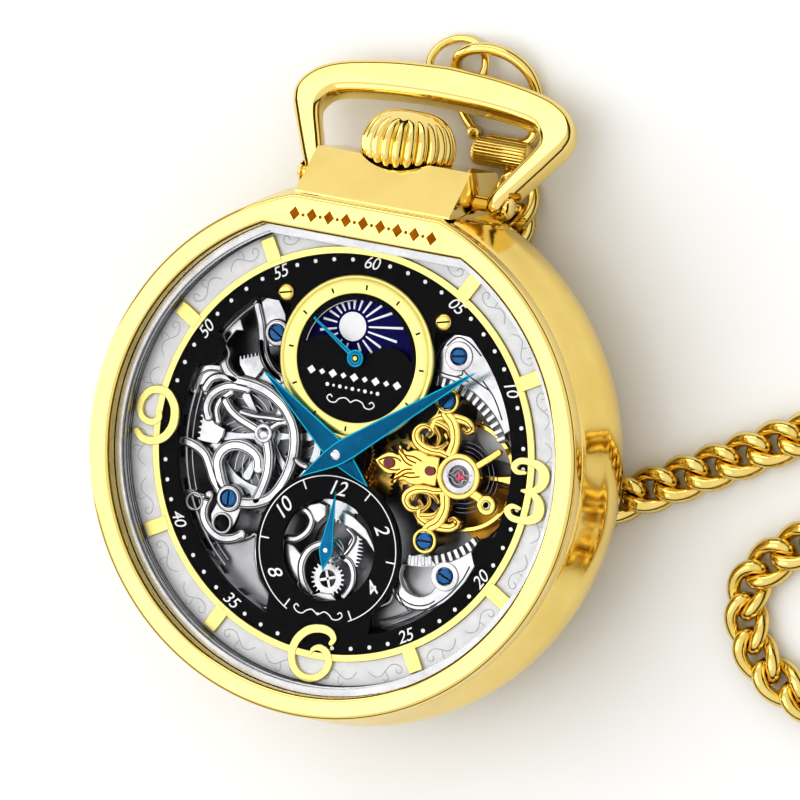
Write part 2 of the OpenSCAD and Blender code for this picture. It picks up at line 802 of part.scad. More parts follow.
// Balance bridge: a hub ring, two arms to the screws and a leaf towards the centre.
module balance_bridge() {
    h = cock_top - cock_z;
    color(gold) difference() {
        union() {
            disc(balance_c, 2, cock_z, h);
            for (p = cock_screws) disc(p, 1.1, cock_z, h);
            translate([3.4, -0.5, cock_z]) cube([5.6, 1, h]);
            disc([4.3, 0], 0.85, cock_z, h);
            translate([8.1, -6.3, cock_z]) cube([1, 12.6, h]);
            disc([6.9, 0], 1.5, cock_z, h);
        }
        disc(balance_c, 1.05, cock_z - 1, 3);
        disc([4.3, 0], 0.22, cock_z - 1, 1.3);
        for (p = cock_screws) disc(p, 0.5, cock_z - 1, 3);
    }
    color(gold) for (p = cock_screws) ring(p, 0.5, 0.75, plate_top, cock_z - plate_top);
}

module balance_jewel() {
    color(ruby) ring(balance_c, 0.25, 1.04, cock_z + 0.1, 0.8);
}

module train_jewels() {
    color(ruby) {
        for (p = [third_c, upper_c]) ring(p, 0.21, 0.6, 4.7, 0.2);
        disc([4.3, 0], 0.45, cock_top, 0.12);
        disc([8.2, 0], 0.4, cock_top, 0.12);
    }
}

// ---- Motion work ----

minute_mesh = mesh(0, cannon_n, heading([0, 0], minute_c), minute_n);
minute_pinion_mesh = mesh(0, hour_n, heading([0, 0], minute_c), minute_pinion_n);
module minute_wheel() {
    color(brass) {
        gear(minute_c, minute_n, m_cannon, 11.5, 0.25, minute_mesh);
        gear(minute_c, minute_pinion_n, m_motion, motion_z - 0.05, 0.35, minute_pinion_mesh);
        disc(minute_c, 0.3, plate_top + 0.02, 2.35);
    }
}

dual_idler_mesh = mesh(0, hour_n, -90, idler_n);
dual_mesh = mesh(dual_idler_mesh, idler_n, -90, dual_n);
module dual_idler() {
    color(brass) {
        gear(dual_idler_c, idler_n, m_motion, motion_z, 0.25, dual_idler_mesh);
        disc(dual_idler_c, 0.25, plate_top + 0.02, 2.4);
    }
}

day_mesh = mesh(0, hour_n, 90, day_idler_n);
day_idler_mesh = mesh(day_mesh, day_idler_n, 90, day_n);
module day_idler() {
    color(brass) {
        gear(day_idler_c, day_idler_n, m_motion, motion_z - 0.05, 0.72, day_mesh);
        disc(day_idler_c, 0.22, plate_top + 0.02, 2.1);
    }
}

// Winding weight: half a disc with a heavy rim, turning on a post behind the movement.
module winding_rotor() {
    color(steel) difference() {
        union() {
            disc([0, 0], rotor_r, 2.3, 0.5);
            ring([0, 0], 9.6, rotor_r, 2.3, 1.7);
        }
        difference() {
            translate([-20, 0, 2]) cube([40, 20, 4]);
            disc([0, 0], 2.2, 2, 4);
        }
        for (a = [215, 270, 325]) disc(polar(6, a), 1.7, 2, 2);
    }
    color(steel) disc([0, 0], 1.2, 2.1, 3.9);
}

// ---- Chain ----

// The chain's route over the table, in hand-picked round numbers: from the clasp, round under the
// case's lip, out to the right, through one bend, and on to its coil.
lane_r = 18.2;
chain_z = chain_h / 2;
route_start = [[7.2, 25.9], [7.3, 24.6], [7.7, 22.9], [7.4, 20.9], [5.9, 19]];
route_lane = [for (a = [84 : 12 : 332]) polar(lane_r, a)];
route_out = [[18, -4.6], [19.2, -2.6], [21.2, -0.7], [24.7, 1.1], [28.1, 3], [31.6, 5], [34.2, 6.5],
    [36.7, 7.8], [39.4, 8.7], [42, 8.4], [43.8, 6.6], [44, 4.2], [42.8, 2], [40.8, 0.2], [38.2, -1.5],
    [36, -3.3], [34.5, -5.3], [34.3, -7.5], [35.2, -10.4], [37.1, -12.7], [40.3, -14.3], [43.8, -15.3],
    [47, -16.6]];
route = [for (p = concat(route_start, route_lane, route_out)) [p[0], p[1], chain_z]];
module chain_tube() {
    color(gold) tube(route, chain_w / 2, chain_h / 2, 8);
}

coil_c = [68, -9];
coil_in = 14.4;
coil_out = 22.2;
module chain_coil() {
    color(gold) ring(coil_c, coil_in, coil_out, 0, chain_h + 0.1);
}

module chain_end_ring() {
    color(gold) translate([coil_c[0], coil_c[1] + 11.8, 0.6]) rotate_extrude()
        translate([2, 0]) circle(r = 0.55, $fn = 24);
}

module chain_bar() {
    color(gold) {
        along_x(coil_c[0] - 9, coil_c[1] + 7.8, 1.2, 1.15, 18);
        translate([coil_c[0], coil_c[1] + 9.1, 0.6]) cylinder(r = 0.5, h = 1.2);
    }
}

case_back();
back_crystal();
back_gasket();
case_middle();
pendant();
pendant_tube();
front_bezel();
front_crystal();
crystal_gasket();
rehaut();
chapter_ring();
dial_plate();
hour_markers();
upper_subdial();
dual_subdial();
dial_screws();
sun_disc();
seconds_hand();
dual_hand();
hour_hand();
minute_hand();
bow();
bow_loop();
bow_screws();
clasp_hook();
clasp_gate();
clasp_base();
crown();
crown_seal();
movement_ring();
main_plate();
pillars();
train_bridge();
dial_support();
barrel();
ratchet_wheel();
crown_wheel();
barrel_bridge();
skeleton_bridge();
bridge_screws();
centre_wheel();
third_wheel();
fourth_wheel();
transfer_wheel();
escape_wheel();
pallet_fork();
pallet_bridge();
balance_wheel();
hairspring();
balance_bridge();
balance_jewel();
train_jewels();
minute_wheel();
dual_idler();
day_idler();
winding_rotor();
chain_tube();
chain_coil();
chain_end_ring();
chain_bar();
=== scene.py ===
"""Open-dial pocket watch, built over the CAD frame. Shapes are written in millimetres and scaled."""

from math import asin, atan2, copysign, cos, hypot, pi, radians, sin

import bmesh
import bpy
from mathutils import Matrix, Vector


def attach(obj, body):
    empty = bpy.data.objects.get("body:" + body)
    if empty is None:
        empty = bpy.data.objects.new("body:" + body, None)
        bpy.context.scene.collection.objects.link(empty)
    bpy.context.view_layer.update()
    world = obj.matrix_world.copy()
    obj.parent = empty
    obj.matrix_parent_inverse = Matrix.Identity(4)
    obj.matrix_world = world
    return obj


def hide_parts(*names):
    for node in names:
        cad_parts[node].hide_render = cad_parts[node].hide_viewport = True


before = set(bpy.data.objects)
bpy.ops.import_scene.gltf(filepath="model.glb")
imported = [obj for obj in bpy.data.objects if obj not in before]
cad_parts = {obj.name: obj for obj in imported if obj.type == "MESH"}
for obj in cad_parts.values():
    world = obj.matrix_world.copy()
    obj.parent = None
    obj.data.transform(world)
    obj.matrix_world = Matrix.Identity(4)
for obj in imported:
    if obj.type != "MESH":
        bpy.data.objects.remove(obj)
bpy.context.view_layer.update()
MM = 0.001
DIAL = 13.8  # height of the dial's face
SUB = 8.45  # distance of each sub-dial's centre from the dial's centre
NEAR = (-0.38, -0.11)  # moves an outline read at the dial down to where the bridges lie
LOW_NEAR = (-0.25, -0.07)  # the same for the pieces in the lower opening
DEEP = (-0.8, -0.22)  # the same for the blocks that lie lowest
PRINT = 0.02  # thickness of printed marks
scene = bpy.context.scene

# ---------------------------------------------------------------- camera

LENS = 319  # long lens, because the picture shows little perspective
ROLL = -8.69  # degrees that the camera leans
eye = Vector((235.84, 69.42, 576.54)) * MM
aim = Vector((4.558, 5.600, 13.8)) * MM
cam_data = bpy.data.cameras.new("camera")
cam_data.sensor_width = 36
cam_data.lens = LENS
cam_data.clip_start = 0.05
camera = bpy.data.objects.new("camera", cam_data)
scene.collection.objects.link(camera)
forward = (aim - eye).normalized()
sideways = forward.cross(Vector((0, 1, 0))).normalized()
upward = sideways.cross(forward)
roll = radians(ROLL)
cam_up = upward * cos(roll) + sideways * sin(roll)
cam_x = forward.cross(cam_up).normalized()
camera.matrix_world = Matrix(((cam_x.x, cam_up.x, -forward.x, eye.x), (cam_x.y, cam_up.y, -forward.y, eye.y),
    (cam_x.z, cam_up.z, -forward.z, eye.z), (0, 0, 0, 1)))
scene.camera = camera
scene.view_settings.view_transform = "Standard"
scene.view_settings.look = "High Contrast"

# ---------------------------------------------------------------- materials


def link(nt, a, out, b, inp):
    nt.links.new(a.outputs[out], b.inputs[inp])


def material(name, colour, colour2=None, metallic=1.0, rough=0.12, rough2=None, scale=900, stretch=(1, 1, 1),
    bump=0.0, bump_scale=4000, bump_stretch=(1, 1, 1), **sockets):
    """Principled material whose colour and roughness vary with a noise, with a fine bump."""
    m = bpy.data.materials.new(name)
    m.use_nodes = True
    nt = m.node_tree
    b = nt.nodes["Principled BSDF"]
    b.inputs["Metallic"].default_value = metallic
    b.inputs["Base Color"].default_value = (*colour, 1)
    b.inputs["Roughness"].default_value = rough
    coord = nt.nodes.new("ShaderNodeTexCoord")
    mapping = nt.nodes.new("ShaderNodeMapping")
    mapping.inputs["Scale"].default_value = stretch
    link(nt, coord, "Object", mapping, "Vector")
    noise = nt.nodes.new("ShaderNodeTexNoise")
    noise.inputs["Scale"].default_value = scale
    noise.inputs["Detail"].default_value = 6
    link(nt, mapping, "Vector", noise, "Vector")
    if colour2:
        ramp = nt.nodes.new("ShaderNodeValToRGB")
        ramp.color_ramp.elements[0].position = 0.3
        ramp.color_ramp.elements[1].position = 0.7
        ramp.color_ramp.elements[0].color = (*colour, 1)
        ramp.color_ramp.elements[1].color = (*colour2, 1)
        link(nt, noise, "Fac", ramp, "Fac")
        link(nt, ramp, "Color", b, "Base Color")
    if rough2 is not None:
        span = nt.nodes.new("ShaderNodeMapRange")
        span.inputs["To Min"].default_value = rough
        span.inputs["To Max"].default_value = rough2
        link(nt, noise, "Fac", span, "Value")
        link(nt, span, "Result", b, "Roughness")
    if bump:
        bm_map = nt.nodes.new("ShaderNodeMapping")
        bm_map.inputs["Scale"].default_value = bump_stretch
        link(nt, coord, "Object", bm_map, "Vector")
        fine = nt.nodes.new("ShaderNodeTexNoise")
        fine.inputs["Scale"].default_value = bump_scale
        fine.inputs["Detail"].default_value = 8
        link(nt, bm_map, "Vector", fine, "Vector")
        bump_node = nt.nodes.new("ShaderNodeBump")
        bump_node.inputs["Strength"].default_value = bump
        bump_node.inputs["Distance"].default_value = 0.00002
        link(nt, fine, "Fac", bump_node, "Height")
        link(nt, bump_node, "Normal", b, "Normal")
    for key, value in sockets.items():
        b.inputs[key.replace("_", " ")].default_value = value
    return m


GOLD = (0.89, 0.71, 0.295)
GOLD_DEEP = (0.84, 0.645, 0.215)
M = {
    "case_gold": material("case_gold", GOLD, (0.87, 0.685, 0.26), rough=0.05, rough2=0.11, scale=260,
        bump=0.04),
    # A darker, deeper copy of case_gold for the case's side: painted shade.
    "case_side": material("case_side_shaded_gold", (0.87, 0.69, 0.27), (0.82, 0.63, 0.22), rough=0.06, rough2=0.13,
        scale=260, bump=0.04),
    "bow_gold": material("bow_gold", GOLD, (0.87, 0.685, 0.26), rough=0.05, rough2=0.12, scale=300,
        bump=0.04),
    "chain_gold": material("chain_gold", GOLD, GOLD_DEEP, rough=0.08, rough2=0.17, scale=700, bump=0.08),
    "dial_gold": material("dial_gold", (0.88, 0.78, 0.33), (0.85, 0.74, 0.29), rough=0.32, rough2=0.42,
        scale=900, bump=0.12),
    "bridge_gold": material("bridge_gold", (0.90, 0.67, 0.22), GOLD_DEEP, rough=0.10, rough2=0.22, scale=900,
        bump=0.3, bump_scale=2600),
    "wheel_brass": material("wheel_brass", (0.85, 0.58, 0.18), (0.78, 0.50, 0.14), rough=0.16, rough2=0.3,
        scale=1500, bump=0.2),
    # Dark amber lines: an engraved pattern on the bezel; on the balance cock partly engraving and partly
    # painted shade.
    "amber": material("amber_engraving_and_shade", (0.20, 0.07, 0.004), (0.32, 0.13, 0.01), rough=0.35, rough2=0.5,
        scale=1500),
    "silver": material("silver_polished", (0.90, 0.91, 0.93), (0.80, 0.81, 0.84), rough=0.06, rough2=0.16,
        scale=500, bump=0.06),
    "bridge_silver": material("bridge_silver", (0.72, 0.72, 0.73), (0.44, 0.44, 0.45), rough=0.14,
        rough2=0.30, scale=420, bump=0.35, bump_scale=1400),
    "engraved": material("engraved_silver", (0.80, 0.80, 0.80), (0.72, 0.72, 0.73), metallic=0.35,
        rough=0.38, rough2=0.5, scale=900, stretch=(1, 1, 8), bump=0.25, bump_scale=2500),
    "engraving": material("engraving_line", (0.52, 0.52, 0.53), (0.42, 0.42, 0.43), metallic=0.3, rough=0.4,
        rough2=0.5, scale=2000),
    # Near-black steel, partly painted shade: the plate under the bridges, the band under the rim's notches
    # and the setting round the jewel darken the gaps where shade falls.
    "dark_steel": material("dark_steel", (0.11, 0.11, 0.12), (0.26, 0.26, 0.27), rough=0.22, rough2=0.4,
        scale=420, bump=0.3, bump_scale=900, bump_stretch=(1, 12, 1)),
    "steel": material("movement_steel", (0.62, 0.63, 0.65), (0.5, 0.51, 0.53), rough=0.18, rough2=0.3,
        scale=700, bump=0.2, bump_scale=1500, bump_stretch=(8, 1, 1)),
    "black": material("dial_black", (0.010, 0.010, 0.011), (0.016, 0.016, 0.018), metallic=0.0, rough=0.30,
        rough2=0.38, scale=2500, bump=0.10, bump_scale=9000, Specular_IOR_Level=0.06),
    "white": material("white_print", (0.96, 0.96, 0.96), (0.92, 0.92, 0.92), metallic=0.0, rough=0.5,
        rough2=0.6, scale=3000, bump=0.05),
    # Black print for the ticks; also laid in the screw slots as painted shade.
    "black_print_and_slot_shade": material("black_print_and_slot_shade", (0.012, 0.012, 0.012), (0.02, 0.02, 0.02), metallic=0.0,
        rough=0.5, rough2=0.6, scale=3000),
    "navy": material("navy_lacquer", (0.003, 0.003, 0.10), (0.006, 0.004, 0.13), metallic=0.0, rough=0.3,
        rough2=0.4, scale=2500, bump=0.05, Specular_IOR_Level=0.1),
    "blue": material("blued_hand", (0.004, 0.15, 0.29), (0.006, 0.18, 0.34), metallic=0.75, rough=0.22,
        rough2=0.3, scale=900, bump=0.08),
    "blue_edge": material("blued_edge", (0.0, 0.42, 0.58), (0.005, 0.48, 0.66), metallic=0.5, rough=0.2,
        rough2=0.3, scale=1200),
    "screw_blue": material("screw_blue", (0.03, 0.11, 0.25), (0.04, 0.15, 0.33), metallic=0.8, rough=0.15,
        rough2=0.25, scale=900, bump=0.1),
    "ruby": material("ruby", (0.16, 0.003, 0.010), (0.26, 0.01, 0.02), metallic=0.0, rough=0.06, rough2=0.1,
        scale=1500, Coat_Weight=0.6),
    "pink_ruby": material("pink_ruby", (0.62, 0.05, 0.13), (0.75, 0.10, 0.20), metallic=0.0, rough=0.08,
        rough2=0.12, scale=1500, Coat_Weight=0.6),
    "rubber": material("black_rubber", (0.015, 0.015, 0.015), (0.025, 0.025, 0.025), metallic=0.0, rough=0.6,
        rough2=0.75, scale=3000, bump=0.2),
    "rehaut": material("rehaut_steel", (0.60, 0.60, 0.61), (0.48, 0.48, 0.49), rough=0.18, rough2=0.3,
        scale=500, stretch=(1, 1, 14)),
    # Near-black lines laid on the bridges and round the opening's wall: painted shade standing for grooves
    # and steps.
    "shade_line": material("painted_groove_shade", (0.055, 0.055, 0.06), (0.10, 0.10, 0.105), metallic=0.5, rough=0.4,
        rough2=0.5, scale=1500),
    "grey_plate": material("grey_plate", (0.50, 0.50, 0.51), (0.36, 0.36, 0.37), rough=0.3, rough2=0.5,
        scale=300, bump=0.2, bump_scale=900, bump_stretch=(1, 10, 1)),
    "brown_brass": material("brown_brass", (0.42, 0.24, 0.04), (0.26, 0.13, 0.02), rough=0.22, rough2=0.4,
        scale=700, bump=0.3),
    "spring": material("hairspring_steel", (0.16, 0.16, 0.20), (0.10, 0.10, 0.14), rough=0.2, rough2=0.3,
        scale=1500),
    "glass": material("clear_glass", (0.0, 0.0, 0.0), metallic=0.0, rough=0.0, Alpha=0.03),
}
NODES_OF = {
    "case_gold": "case_back case_middle pendant front_bezel",
    "glass": "back_crystal front_crystal",
    "rubber": "back_gasket crown_seal",
    "silver": "pendant_tube",
    "rehaut": "crystal_gasket rehaut",
    "engraved": "chapter_ring",
    "black": "dial_plate dual_subdial",
    "dial_gold": "hour_markers upper_subdial",
    "bridge_gold": "dial_screws balance_wheel balance_bridge",
    "navy": "sun_disc",
    "blue": "seconds_hand dual_hand hour_hand minute_hand",
    "bow_gold": "bow bow_loop bow_screws crown",
    "chain_gold": "clasp_hook clasp_gate clasp_base chain_tube chain_coil chain_end_ring chain_bar",
    "steel": ("movement_ring pillars train_bridge dial_support crown_wheel pallet_fork pallet_bridge "
        "dual_idler winding_rotor"),
    # Main plate and barrel in the near-black steel; the main plate stands partly as painted shade under the
    # bridges.
    "dark_steel": "main_plate barrel",
    "bridge_silver": "ratchet_wheel barrel_bridge skeleton_bridge",
    "screw_blue": "bridge_screws",
    "wheel_brass": "centre_wheel third_wheel fourth_wheel transfer_wheel escape_wheel minute_wheel day_idler",
    "spring": "hairspring",
    "pink_ruby": "balance_jewel",
    "ruby": "train_jewels"}
for key, names in NODES_OF.items():
    for name in names.split():
        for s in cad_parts[name].material_slots:
            s.material = M[key]

# ---------------------------------------------------------------- mesh helpers


def new_object(name, mesh):
    o = bpy.data.objects.new(name, mesh)
    scene.collection.objects.link(o)
    return o


def add(name, mesh, mat, body, replaces=(), smooth=35):
    """Turn a mesh in millimetres into a finished piece."""
    mesh.name = name
    mesh.transform(Matrix.Scale(MM, 4))
    mesh.materials.clear()
    mesh.materials.append(M[mat] if isinstance(mat, str) else mat)
    mesh.polygons.foreach_set("material_index", [0] * len(mesh.polygons))
    if smooth:
        mesh.shade_smooth()
        mesh.set_sharp_from_angle(angle=radians(smooth))
    o = new_object(name, mesh)
    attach(o, body)
    if replaces:
        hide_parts(*replaces)
    return o


def from_faces(verts, faces):
    mesh = bpy.data.meshes.new("m")
    mesh.from_pydata([tuple(v) for v in verts], [], faces)
    mesh.update()
    return mesh


def join(meshes):
    bm = bmesh.new()
    for m in meshes:
        bm.from_mesh(m)
    out = bpy.data.meshes.new("j")
    bm.to_mesh(out)
    bm.free()
    for m in meshes:
        bpy.data.meshes.remove(m)
    return out


def moved(mesh, x=0, y=0, z=0, turn=0, matrix=None):
    mesh.transform(matrix if matrix is not None else Matrix.Translation((x, y, z)) @ Matrix.Rotation(turn, 4,
        "Z"))
    return mesh


def curve_mesh(cu):
    o = bpy.data.objects.new("tmp", cu)
    scene.collection.objects.link(o)
    bpy.context.view_layer.update()
    mesh = bpy.data.meshes.new_from_object(o.evaluated_get(bpy.context.evaluated_depsgraph_get()))
    bpy.data.objects.remove(o)
    bpy.data.curves.remove(cu)
    return mesh


def plate(loops, z0, z1, bevel=0.1, res=2):
    """Solid of closed outlines between two heights, with rounded edges; inner loops are holes."""
    cu = bpy.data.curves.new("c", "CURVE")
    cu.dimensions = "2D"
    cu.fill_mode = "BOTH"
    half = (z1 - z0) / 2
    b = min(bevel, half * 0.98)
    cu.extrude = half - b
    cu.bevel_depth = b
    cu.bevel_resolution = res
    cu.offset = -b
    for loop in loops:
        sp = cu.splines.new("POLY")
        sp.points.add(len(loop) - 1)
        for p, q in zip(sp.points, loop):
            p.co = (q[0], q[1], 0, 1)
        sp.use_cyclic_u = True
    return moved(curve_mesh(cu), z=(z0 + z1) / 2)


def smooth_line(points, per=8, closed=False):
    """Catmull-Rom line through points, each with any number of values."""
    n = len(points)
    out = []
    for i in range(n if closed else n - 1):
        p = [points[(i + k) % n] if closed else points[min(max(i + k, 0), n - 1)] for k in (-1, 0, 1, 2)]
        for s in range(per):
            t = s / per
            out.append(tuple(0.5 * (2 * b + (c - a) * t + (2 * a - 5 * b + 4 * c - d) * t * t
                                    + (3 * b - a - 3 * c + d) * t ** 3) for a, b, c, d in zip(*p)))
    if not closed:
        out.append(tuple(points[-1]))
    return out


def ribbon(points, per=8):
    """Outline of a stroke; each point is x, y, width. Ends are rounded."""
    line = smooth_line(points, per)
    left, right = [], []
    for i, (x, y, w) in enumerate(line):
        a, b = line[max(i - 1, 0)], line[min(i + 1, len(line) - 1)]
        d = hypot(b[0] - a[0], b[1] - a[1]) or 1
        nx, ny = -(b[1] - a[1]) / d, (b[0] - a[0]) / d
        left.append((x + nx * w / 2, y + ny * w / 2))
        right.append((x - nx * w / 2, y - ny * w / 2))
    def cap(p, q, w):
        h = atan2(p[1] - q[1], p[0] - q[0])
        return [(p[0] + w / 2 * cos(h + t), p[1] + w / 2 * sin(h + t)) for t in (-1.2, -0.6, 0, 0.6, 1.2)]
    start = cap(line[0], line[1], line[0][2])
    end = cap(line[-1], line[-2], line[-1][2])
    return left + end[::-1] + right[::-1] + start[::-1]


def circle(c, r, n=64, a0=0.0):
    return [(c[0] + r * cos(a0 + 2 * pi * i / n), c[1] + r * sin(a0 + 2 * pi * i / n)) for i in range(n)]


def polar(c, r, degrees):
    """Point at a radius and an angle from a centre."""
    return c[0] + r * cos(radians(degrees)), c[1] + r * sin(radians(degrees))


def washer(c, r_out, r_in, steps, z0, z1, bevel, res):
    """Flat ring; steps are the numbers of points on its outer and inner circles."""
    return plate([circle(c, r_out, steps[0]), circle(c, r_in, steps[1])], z0, z1, bevel, res)


def shifted(points, dx, dy):
    return [(p[0] + dx, p[1] + dy, *p[2:]) for p in points]


def lathe(profile, n=256, centre=(0, 0, 0), axis="Z", closed=True, shape=None):
    """Surface of revolution of (radius, height) points; shape changes a radius by angle."""
    verts, faces = [], []
    k = len(profile)
    for i in range(n):
        a = 2 * pi * i / n
        for r, h in profile:
            q = shape(r, h, a) if shape else r
            verts.append((q * cos(a), q * sin(a), h))
    for i in range(n):
        j = (i + 1) % n
        for s in range(k if closed else k - 1):
            t = (s + 1) % k
            faces.append((i * k + s, j * k + s, j * k + t, i * k + t))
    mesh = from_faces(verts, faces)
    if axis == "Y":
        mesh.transform(Matrix(((1, 0, 0, 0), (0, 0, 1, 0), (0, -1, 0, 0), (0, 0, 0, 1))))
    if axis == "X":
        mesh.transform(Matrix(((0, 0, 1, 0), (0, 1, 0, 0), (-1, 0, 0, 0), (0, 0, 0, 1))))
    return moved(mesh, *centre)


def wire(points, radius, closed=False, sides=12, per=8, flat=1.0):
    """Round wire along a smooth line of x, y, z points."""
    line = [Vector(p) for p in smooth_line(points, per, closed)]
    n = len(line)
    verts, faces = [], []
    up = Vector((0.1, 0.05, 1)).normalized()
    for i, p in enumerate(line):
        a = line[(i - 1) % n] if closed else line[max(i - 1, 0)]
        b = line[(i + 1) % n] if closed else line[min(i + 1, n - 1)]
        t = (b - a).normalized()
        s = t.cross(up).normalized()
        u = s.cross(t)
        for k in range(sides):
            f = 2 * pi * k / sides
            verts.append(p + s * radius * cos(f) + u * radius * flat * sin(f))
    for i in range(n if closed else n - 1):
        j = (i + 1) % n
        for k in range(sides):
            m = (k + 1) % sides
            faces.append((i * sides + k, i * sides + m, j * sides + m, j * sides + k))
    if not closed:
        faces.append(tuple(range(sides - 1, -1, -1)))
        faces.append(tuple((n - 1) * sides + k for k in range(sides)))
    return from_faces(verts, faces)


def box(x0, y0, z0, x1, y1, z1):
    return from_faces([(x, y, z) for x in (x0, x1) for y in (y0, y1) for z in (z0, z1)],
        [(0, 1, 3, 2), (4, 6, 7, 5), (0, 4, 5, 1), (2, 3, 7, 6), (0, 2, 6, 4), (1, 5, 7, 3)])


def cut(mesh, cutters):
    """Boolean difference, done at once."""
    o = new_object("cut_base", mesh)
    made = []
    for c in cutters:
        k = new_object("cutter", c)
        made.append(k)
        mod = o.modifiers.new("b", "BOOLEAN")
        mod.operation = "DIFFERENCE"
        mod.solver = "EXACT"
        mod.object = k
    return applied(o, made)


def applied(o, helpers=()):
    bpy.context.view_layer.update()
    mesh = bpy.data.meshes.new_from_object(o.evaluated_get(bpy.context.evaluated_depsgraph_get()))
    for k in (o, *helpers):
        bpy.data.objects.remove(k)
    return mesh


def rounded(mesh, width, segments=3, angle=30):
    mesh.shade_smooth()
    o = new_object("round_base", mesh)
    mod = o.modifiers.new("r", "BEVEL")
    mod.width = width
    mod.segments = segments
    mod.limit_method = "ANGLE"
    mod.angle_limit = radians(angle)
    mod.harden_normals = True
    return applied(o)


def number(text, x, y, size, turn=0, slant=0.0, weight=0.0):
    """A printed numeral as a thin mesh centred on x, y."""
    cu = bpy.data.curves.new("n", "FONT")
    cu.body = text
    cu.size = size * 1.42
    cu.align_x = "CENTER"
    cu.align_y = "CENTER"
    cu.extrude = 0.008
    cu.offset = weight
    cu.shear = slant
    cu.space_character = 0.95
    return moved(curve_mesh(cu), x, y, 0, turn)


# ---------------------------------------------------------------- chain

# The route repeats part.scad's points in millimetres, apart from the last of out_run, which meets the
# coil. About half of out_run's points were picked on the photograph and converted by a scratch script.
LANE = 18.2
COIL_X, COIL_Y = 68, -9
start = [(7.2, 25.9), (7.3, 24.6), (7.7, 22.9), (7.4, 20.9), (5.9, 19)]
lane = [(LANE * cos(radians(a)), LANE * sin(radians(a))) for a in range(84, 333, 12)]
out_run = [(18, -4.6), (19.2, -2.6), (21.2, -0.7), (24.7, 1.1), (28.1, 3), (31.6, 5), (34.2, 6.5),
    (36.7, 7.8), (39.4, 8.7), (42, 8.4), (43.8, 6.6), (44, 4.2), (42.8, 2), (40.8, 0.2), (38.2, -1.5),
    (36, -3.3), (34.5, -5.3), (34.3, -7.5), (35.2, -10.4), (37.1, -12.7), (40.3, -14.3), (43.8, -15.3),
    (46.6, -16.9)]
coil = [(COIL_X + r * cos(radians(a)), COIL_Y + r * sin(radians(a)))
    for a, r in ((208 + 20 * i, 20.2 - 0.95 * min(max(i - 14, 0), 4)) for i in range(29))]
coil += [(76.2, 5.2), (74.24, 5.91), (72.16, 5.91), (70.2, 5.2), (68.96, 4.24), (68.2, 3.4)]
track = smooth_line(start + lane + out_run + coil, 10)
steps = [0.0]
for a, b in zip(track, track[1:]):
    steps.append(steps[-1] + hypot(b[0] - a[0], b[1] - a[1]))


def at(s):
    lo, hi = 0, len(track) - 1
    while hi - lo > 1:
        mid = (lo + hi) // 2
        if steps[mid] <= s:
            lo = mid
        else:
            hi = mid
    f = (s - steps[lo]) / (steps[hi] - steps[lo])
    x = track[lo][0] + (track[hi][0] - track[lo][0]) * f
    y = track[lo][1] + (track[hi][1] - track[lo][1]) * f
    return x, y


PITCH, WIRE_R, HALF_LEN, HALF_W = 3.05, 0.64, 2.18, 1.40
TWIST = 50  # degrees from a link's middle to its end
LINK_Z = 1.22  # height of the links' middle above the floor
links = int((steps[-1] - 2 * HALF_LEN) / PITCH) + 1
verts, faces = [], []
RINGS, SIDES = 36, 12
for i in range(links):
    s0 = HALF_LEN + WIRE_R * 0.4 + i * PITCH
    line = []
    for k in range(RINGS):
        t = 2 * pi * k / RINGS
        u = HALF_LEN * copysign(abs(cos(t)) ** 0.9, cos(t))
        wide = HALF_W * copysign(abs(sin(t)) ** 0.85, sin(t))
        turn = radians(TWIST) * u / HALF_LEN
        c = min(max(s0 + u, 0.001), steps[-1] - 0.001)
        x, y = at(c)
        xa, ya = at(max(c - 0.5, 0))
        xb, yb = at(min(c + 0.5, steps[-1]))
        d = hypot(xb - xa, yb - ya)
        nx, ny = -(yb - ya) / d, (xb - xa) / d
        line.append(Vector((x + nx * wide * cos(turn), y + ny * wide * cos(turn), LINK_Z + wide * sin(turn))))
    base = len(verts)
    for k, p in enumerate(line):
        t = (line[(k + 1) % RINGS] - line[k - 1]).normalized()
        across = t.cross(Vector((0, 0, 1))).normalized()
        over = across.cross(t)
        for q in range(SIDES):
            f = 2 * pi * q / SIDES
            r = WIRE_R * (1 + 0.04 * cos(4 * f))
            verts.append(p + across * r * cos(f) + over * r * sin(f))
    for k in range(RINGS):
        for q in range(SIDES):
            k2, q2 = (k + 1) % RINGS, (q + 1) % SIDES
            faces.append((base + k * SIDES + q, base + k * SIDES + q2, base + k2 * SIDES + q2,
                base + k2 * SIDES + q))
chain = add("chain", from_faces(verts, faces), "chain_gold", "watch",
    ("chain_tube", "chain_coil"), smooth=60)
end_ring = add("end_ring", lathe([(2 + 0.55 * cos(a),
    0.6 + 0.55 * sin(a)) for a in [2 * pi * i / 16 for i in range(16)]], 64, (COIL_X, COIL_Y + 11.8, 0)),
    "chain_gold", "watch", ("chain_end_ring",))
bar_profile = [(0, -9), (0.55, -8.98), (0.95, -8.8), (1.13, -8.4), (1.13, -8.0), (0.8, -7.7), (0.72, -7.3),
    (0.78, -5), (0.92, -2.2), (0.95, -1.4), (1.13, -1.15), (1.13, -0.75), (0.95, -0.5), (0.95, 0)]
bar = join([lathe(bar_profile + [(r, -h) for r, h in bar_profile[-2::-1]], 48, (COIL_X, COIL_Y + 7.8, 1.2),
    "X", closed=False), wire([(COIL_X, COIL_Y + 8.5, 1.2), (COIL_X, COIL_Y + 9.3, 1.0),
    (COIL_X, COIL_Y + 10, 0.8)], 0.42)])
cross_bar = add("cross_bar", bar, "chain_gold", "watch", ("chain_bar",))

# ---------------------------------------------------------------- case

